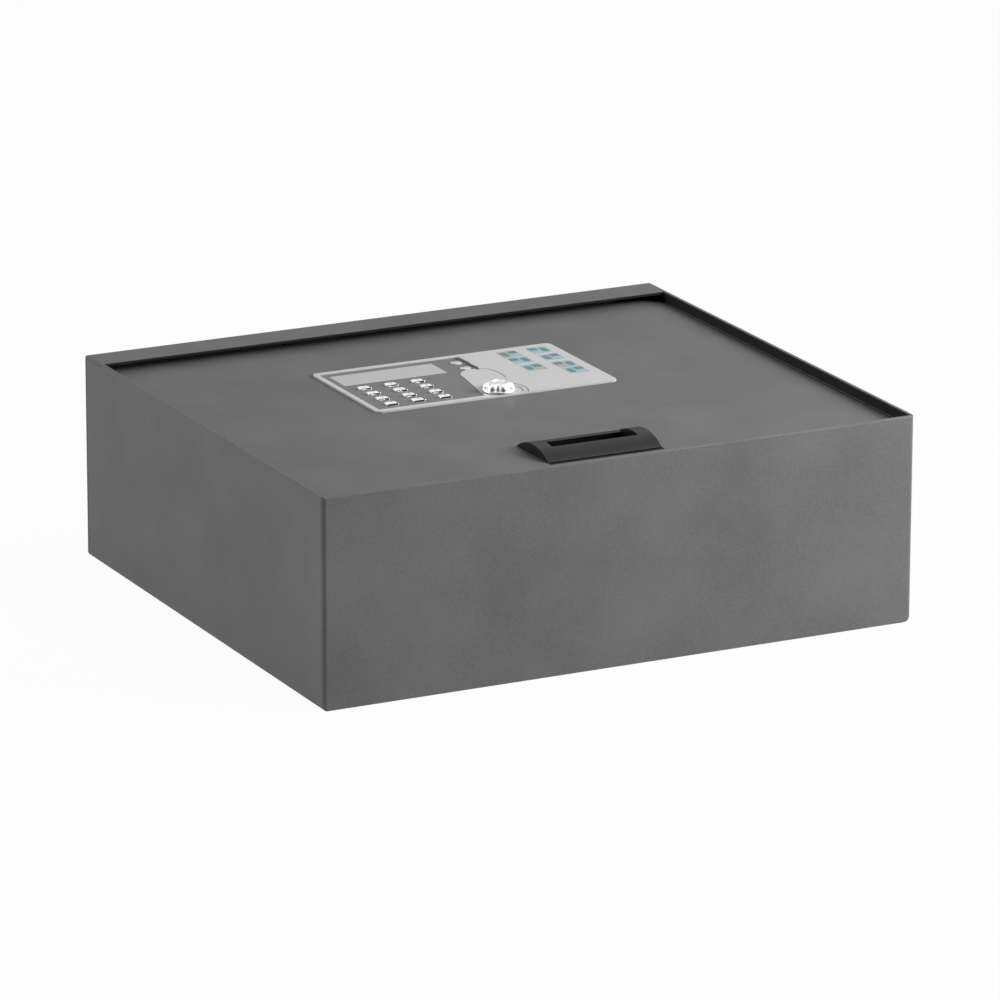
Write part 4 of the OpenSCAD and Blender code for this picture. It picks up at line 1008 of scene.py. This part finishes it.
class SAFE_OT_stage(bpy.types.Operator):
    """Sets the floor, the white world, the softboxes, the cards that mirrors see and the camera"""
    bl_idname = "safe.stage"
    bl_label = "Stage"

    def execute(self, context):
        sizes = context.scene.safe_sizes
        self.floor()
        self.world(sizes.ambient)
        cloth = self.plain_material("black_cloth", "ShaderNodeBsdfDiffuse", "#1A1A1A")
        self.card("dark_card", Vector(CAMERA_AT).normalized() * DARK_CARD_AWAY, DARK_CARD_SIZE, cloth)
        grey_flat = self.plain_material("grey_flat", "ShaderNodeEmission", "#909090")
        self.card("rear_flat", Vector(REAR_FLAT_AT), REAR_FLAT_SIZE, grey_flat)
        centre = (0.0, 0.0, CAD_BOX[1][2] / 2)
        for name, at, width, height, level in SOFTBOXES:
            softbox(name, at, centre, width, height, getattr(sizes, level))
        self.camera()
        context.scene.view_settings.view_transform = "Standard"
        return {"FINISHED"}

    def floor(self):
        """Lays the floor a hair under the base, so that the two faces don't flicker where they would meet.
        From below it is clear, so that the base can be seen there."""
        form = bmesh.new()
        bmesh.ops.create_circle(form, cap_ends=True, segments=64, radius=FLOOR_R)
        material, tree = empty_material("pale_floor")
        paper = add(tree, "ShaderNodeBsdfDiffuse", {"Color": linear("#F0F0F0")})
        glow = add(tree, "ShaderNodeEmission", {"Color": (1.0, 1.0, 1.0), "Strength": 1.0})
        share = add(tree, "ShaderNodeMapRange", {"Value": seen_directly(tree), "To Max": FLOOR_GLOW})
        surface = add(tree, "ShaderNodeMixShader", {"Fac": share, "Shader": paper, "Shader_001": glow})
        below = add(tree, "ShaderNodeNewGeometry", result="Backfacing")
        clear = add(tree, "ShaderNodeBsdfTransparent")
        one_sided = add(tree, "ShaderNodeMixShader", {"Fac": below, "Shader": surface, "Shader_001": clear})
        add(tree, "ShaderNodeOutputMaterial", {"Surface": one_sided})
        floor = object_from(form, "floor", [material])
        floor.location.z = -FLOOR_DOWN

    def world(self, ambient):
        world = bpy.data.worlds.new("white_studio")
        world.use_nodes = True
        tree = world.node_tree
        tree.nodes.clear()
        strength = add(tree, "ShaderNodeMapRange", {"Value": seen_directly(tree), "To Min": ambient})
        surface = add(tree, "ShaderNodeBackground", {"Color": (1.0, 1.0, 1.0), "Strength": strength})
        add(tree, "ShaderNodeOutputWorld", {"Surface": surface})
        bpy.context.scene.world = world

    def plain_material(self, name, kind, code):
        material, tree = empty_material(name)
        surface = add(tree, kind, {"Color": linear(code)})
        add(tree, "ShaderNodeOutputMaterial", {"Surface": surface})
        return material

    def card(self, name, at, size, material):
        """Stands a card that faces the safe, and that only mirrors and soft light meet."""
        form = bmesh.new()
        bmesh.ops.create_grid(form, x_segments=1, y_segments=1, size=0.5)
        card = object_from(form, name, [material])
        card.location = at
        card.rotation_euler = at.to_track_quat("Z", "Y").to_euler()
        card.scale = (*size, 1.0)
        card.visible_camera = False

    def camera(self):
        lens = bpy.data.cameras.new("camera")
        lens.lens = CAMERA_LENS
        camera = bpy.data.objects.new("camera", lens)
        turn = (Matrix.Rotation(math.radians(-CAMERA_AZIMUTH), 4, "Z")
                @ Matrix.Rotation(math.radians(90 - CAMERA_DOWN), 4, "X")
                @ Matrix.Rotation(math.radians(CAMERA_ROLL), 4, "Z"))
        camera.matrix_world = Matrix.Translation(CAMERA_AT) @ turn
        bpy.context.scene.collection.objects.link(camera)
        bpy.context.scene.camera = camera


class SAFE_PT_panel(bpy.types.Panel):
    """Lists the safe's colours and sizes, and the pieces in the order in which they are made"""
    bl_idname = "SAFE_PT_panel"
    bl_label = "Top-opening safe"
    bl_space_type = "VIEW_3D"
    bl_region_type = "UI"
    bl_category = "Safe"

    def draw(self, context):
        for values in (context.scene.safe_colours, context.scene.safe_sizes):
            for name in values.__annotations__:
                self.layout.prop(values, name)
        for piece in PIECES:
            self.layout.operator(piece.bl_idname)


PIECES = (SAFE_OT_body, SAFE_OT_interior, SAFE_OT_lid, SAFE_OT_fascia, SAFE_OT_prints, SAFE_OT_keys,
          SAFE_OT_knob, SAFE_OT_handle, SAFE_OT_lock, SAFE_OT_power, SAFE_OT_screws, SAFE_OT_stage)
CLASSES = (SafeColours, SafeSizes, *PIECES, SAFE_PT_panel)


def register():
    for cls in CLASSES:
        bpy.utils.register_class(cls)
    bpy.types.Scene.safe_colours = PointerProperty(type=SafeColours)
    bpy.types.Scene.safe_sizes = PointerProperty(type=SafeSizes)


def unregister():
    del bpy.types.Scene.safe_sizes
    del bpy.types.Scene.safe_colours
    for cls in reversed(CLASSES):
        bpy.utils.unregister_class(cls)


def main():
    register()
    for piece in PIECES:
        group, name = piece.bl_idname.split(".")
        getattr(getattr(bpy.ops, group), name)()


if __name__ == "__main__":
    main()
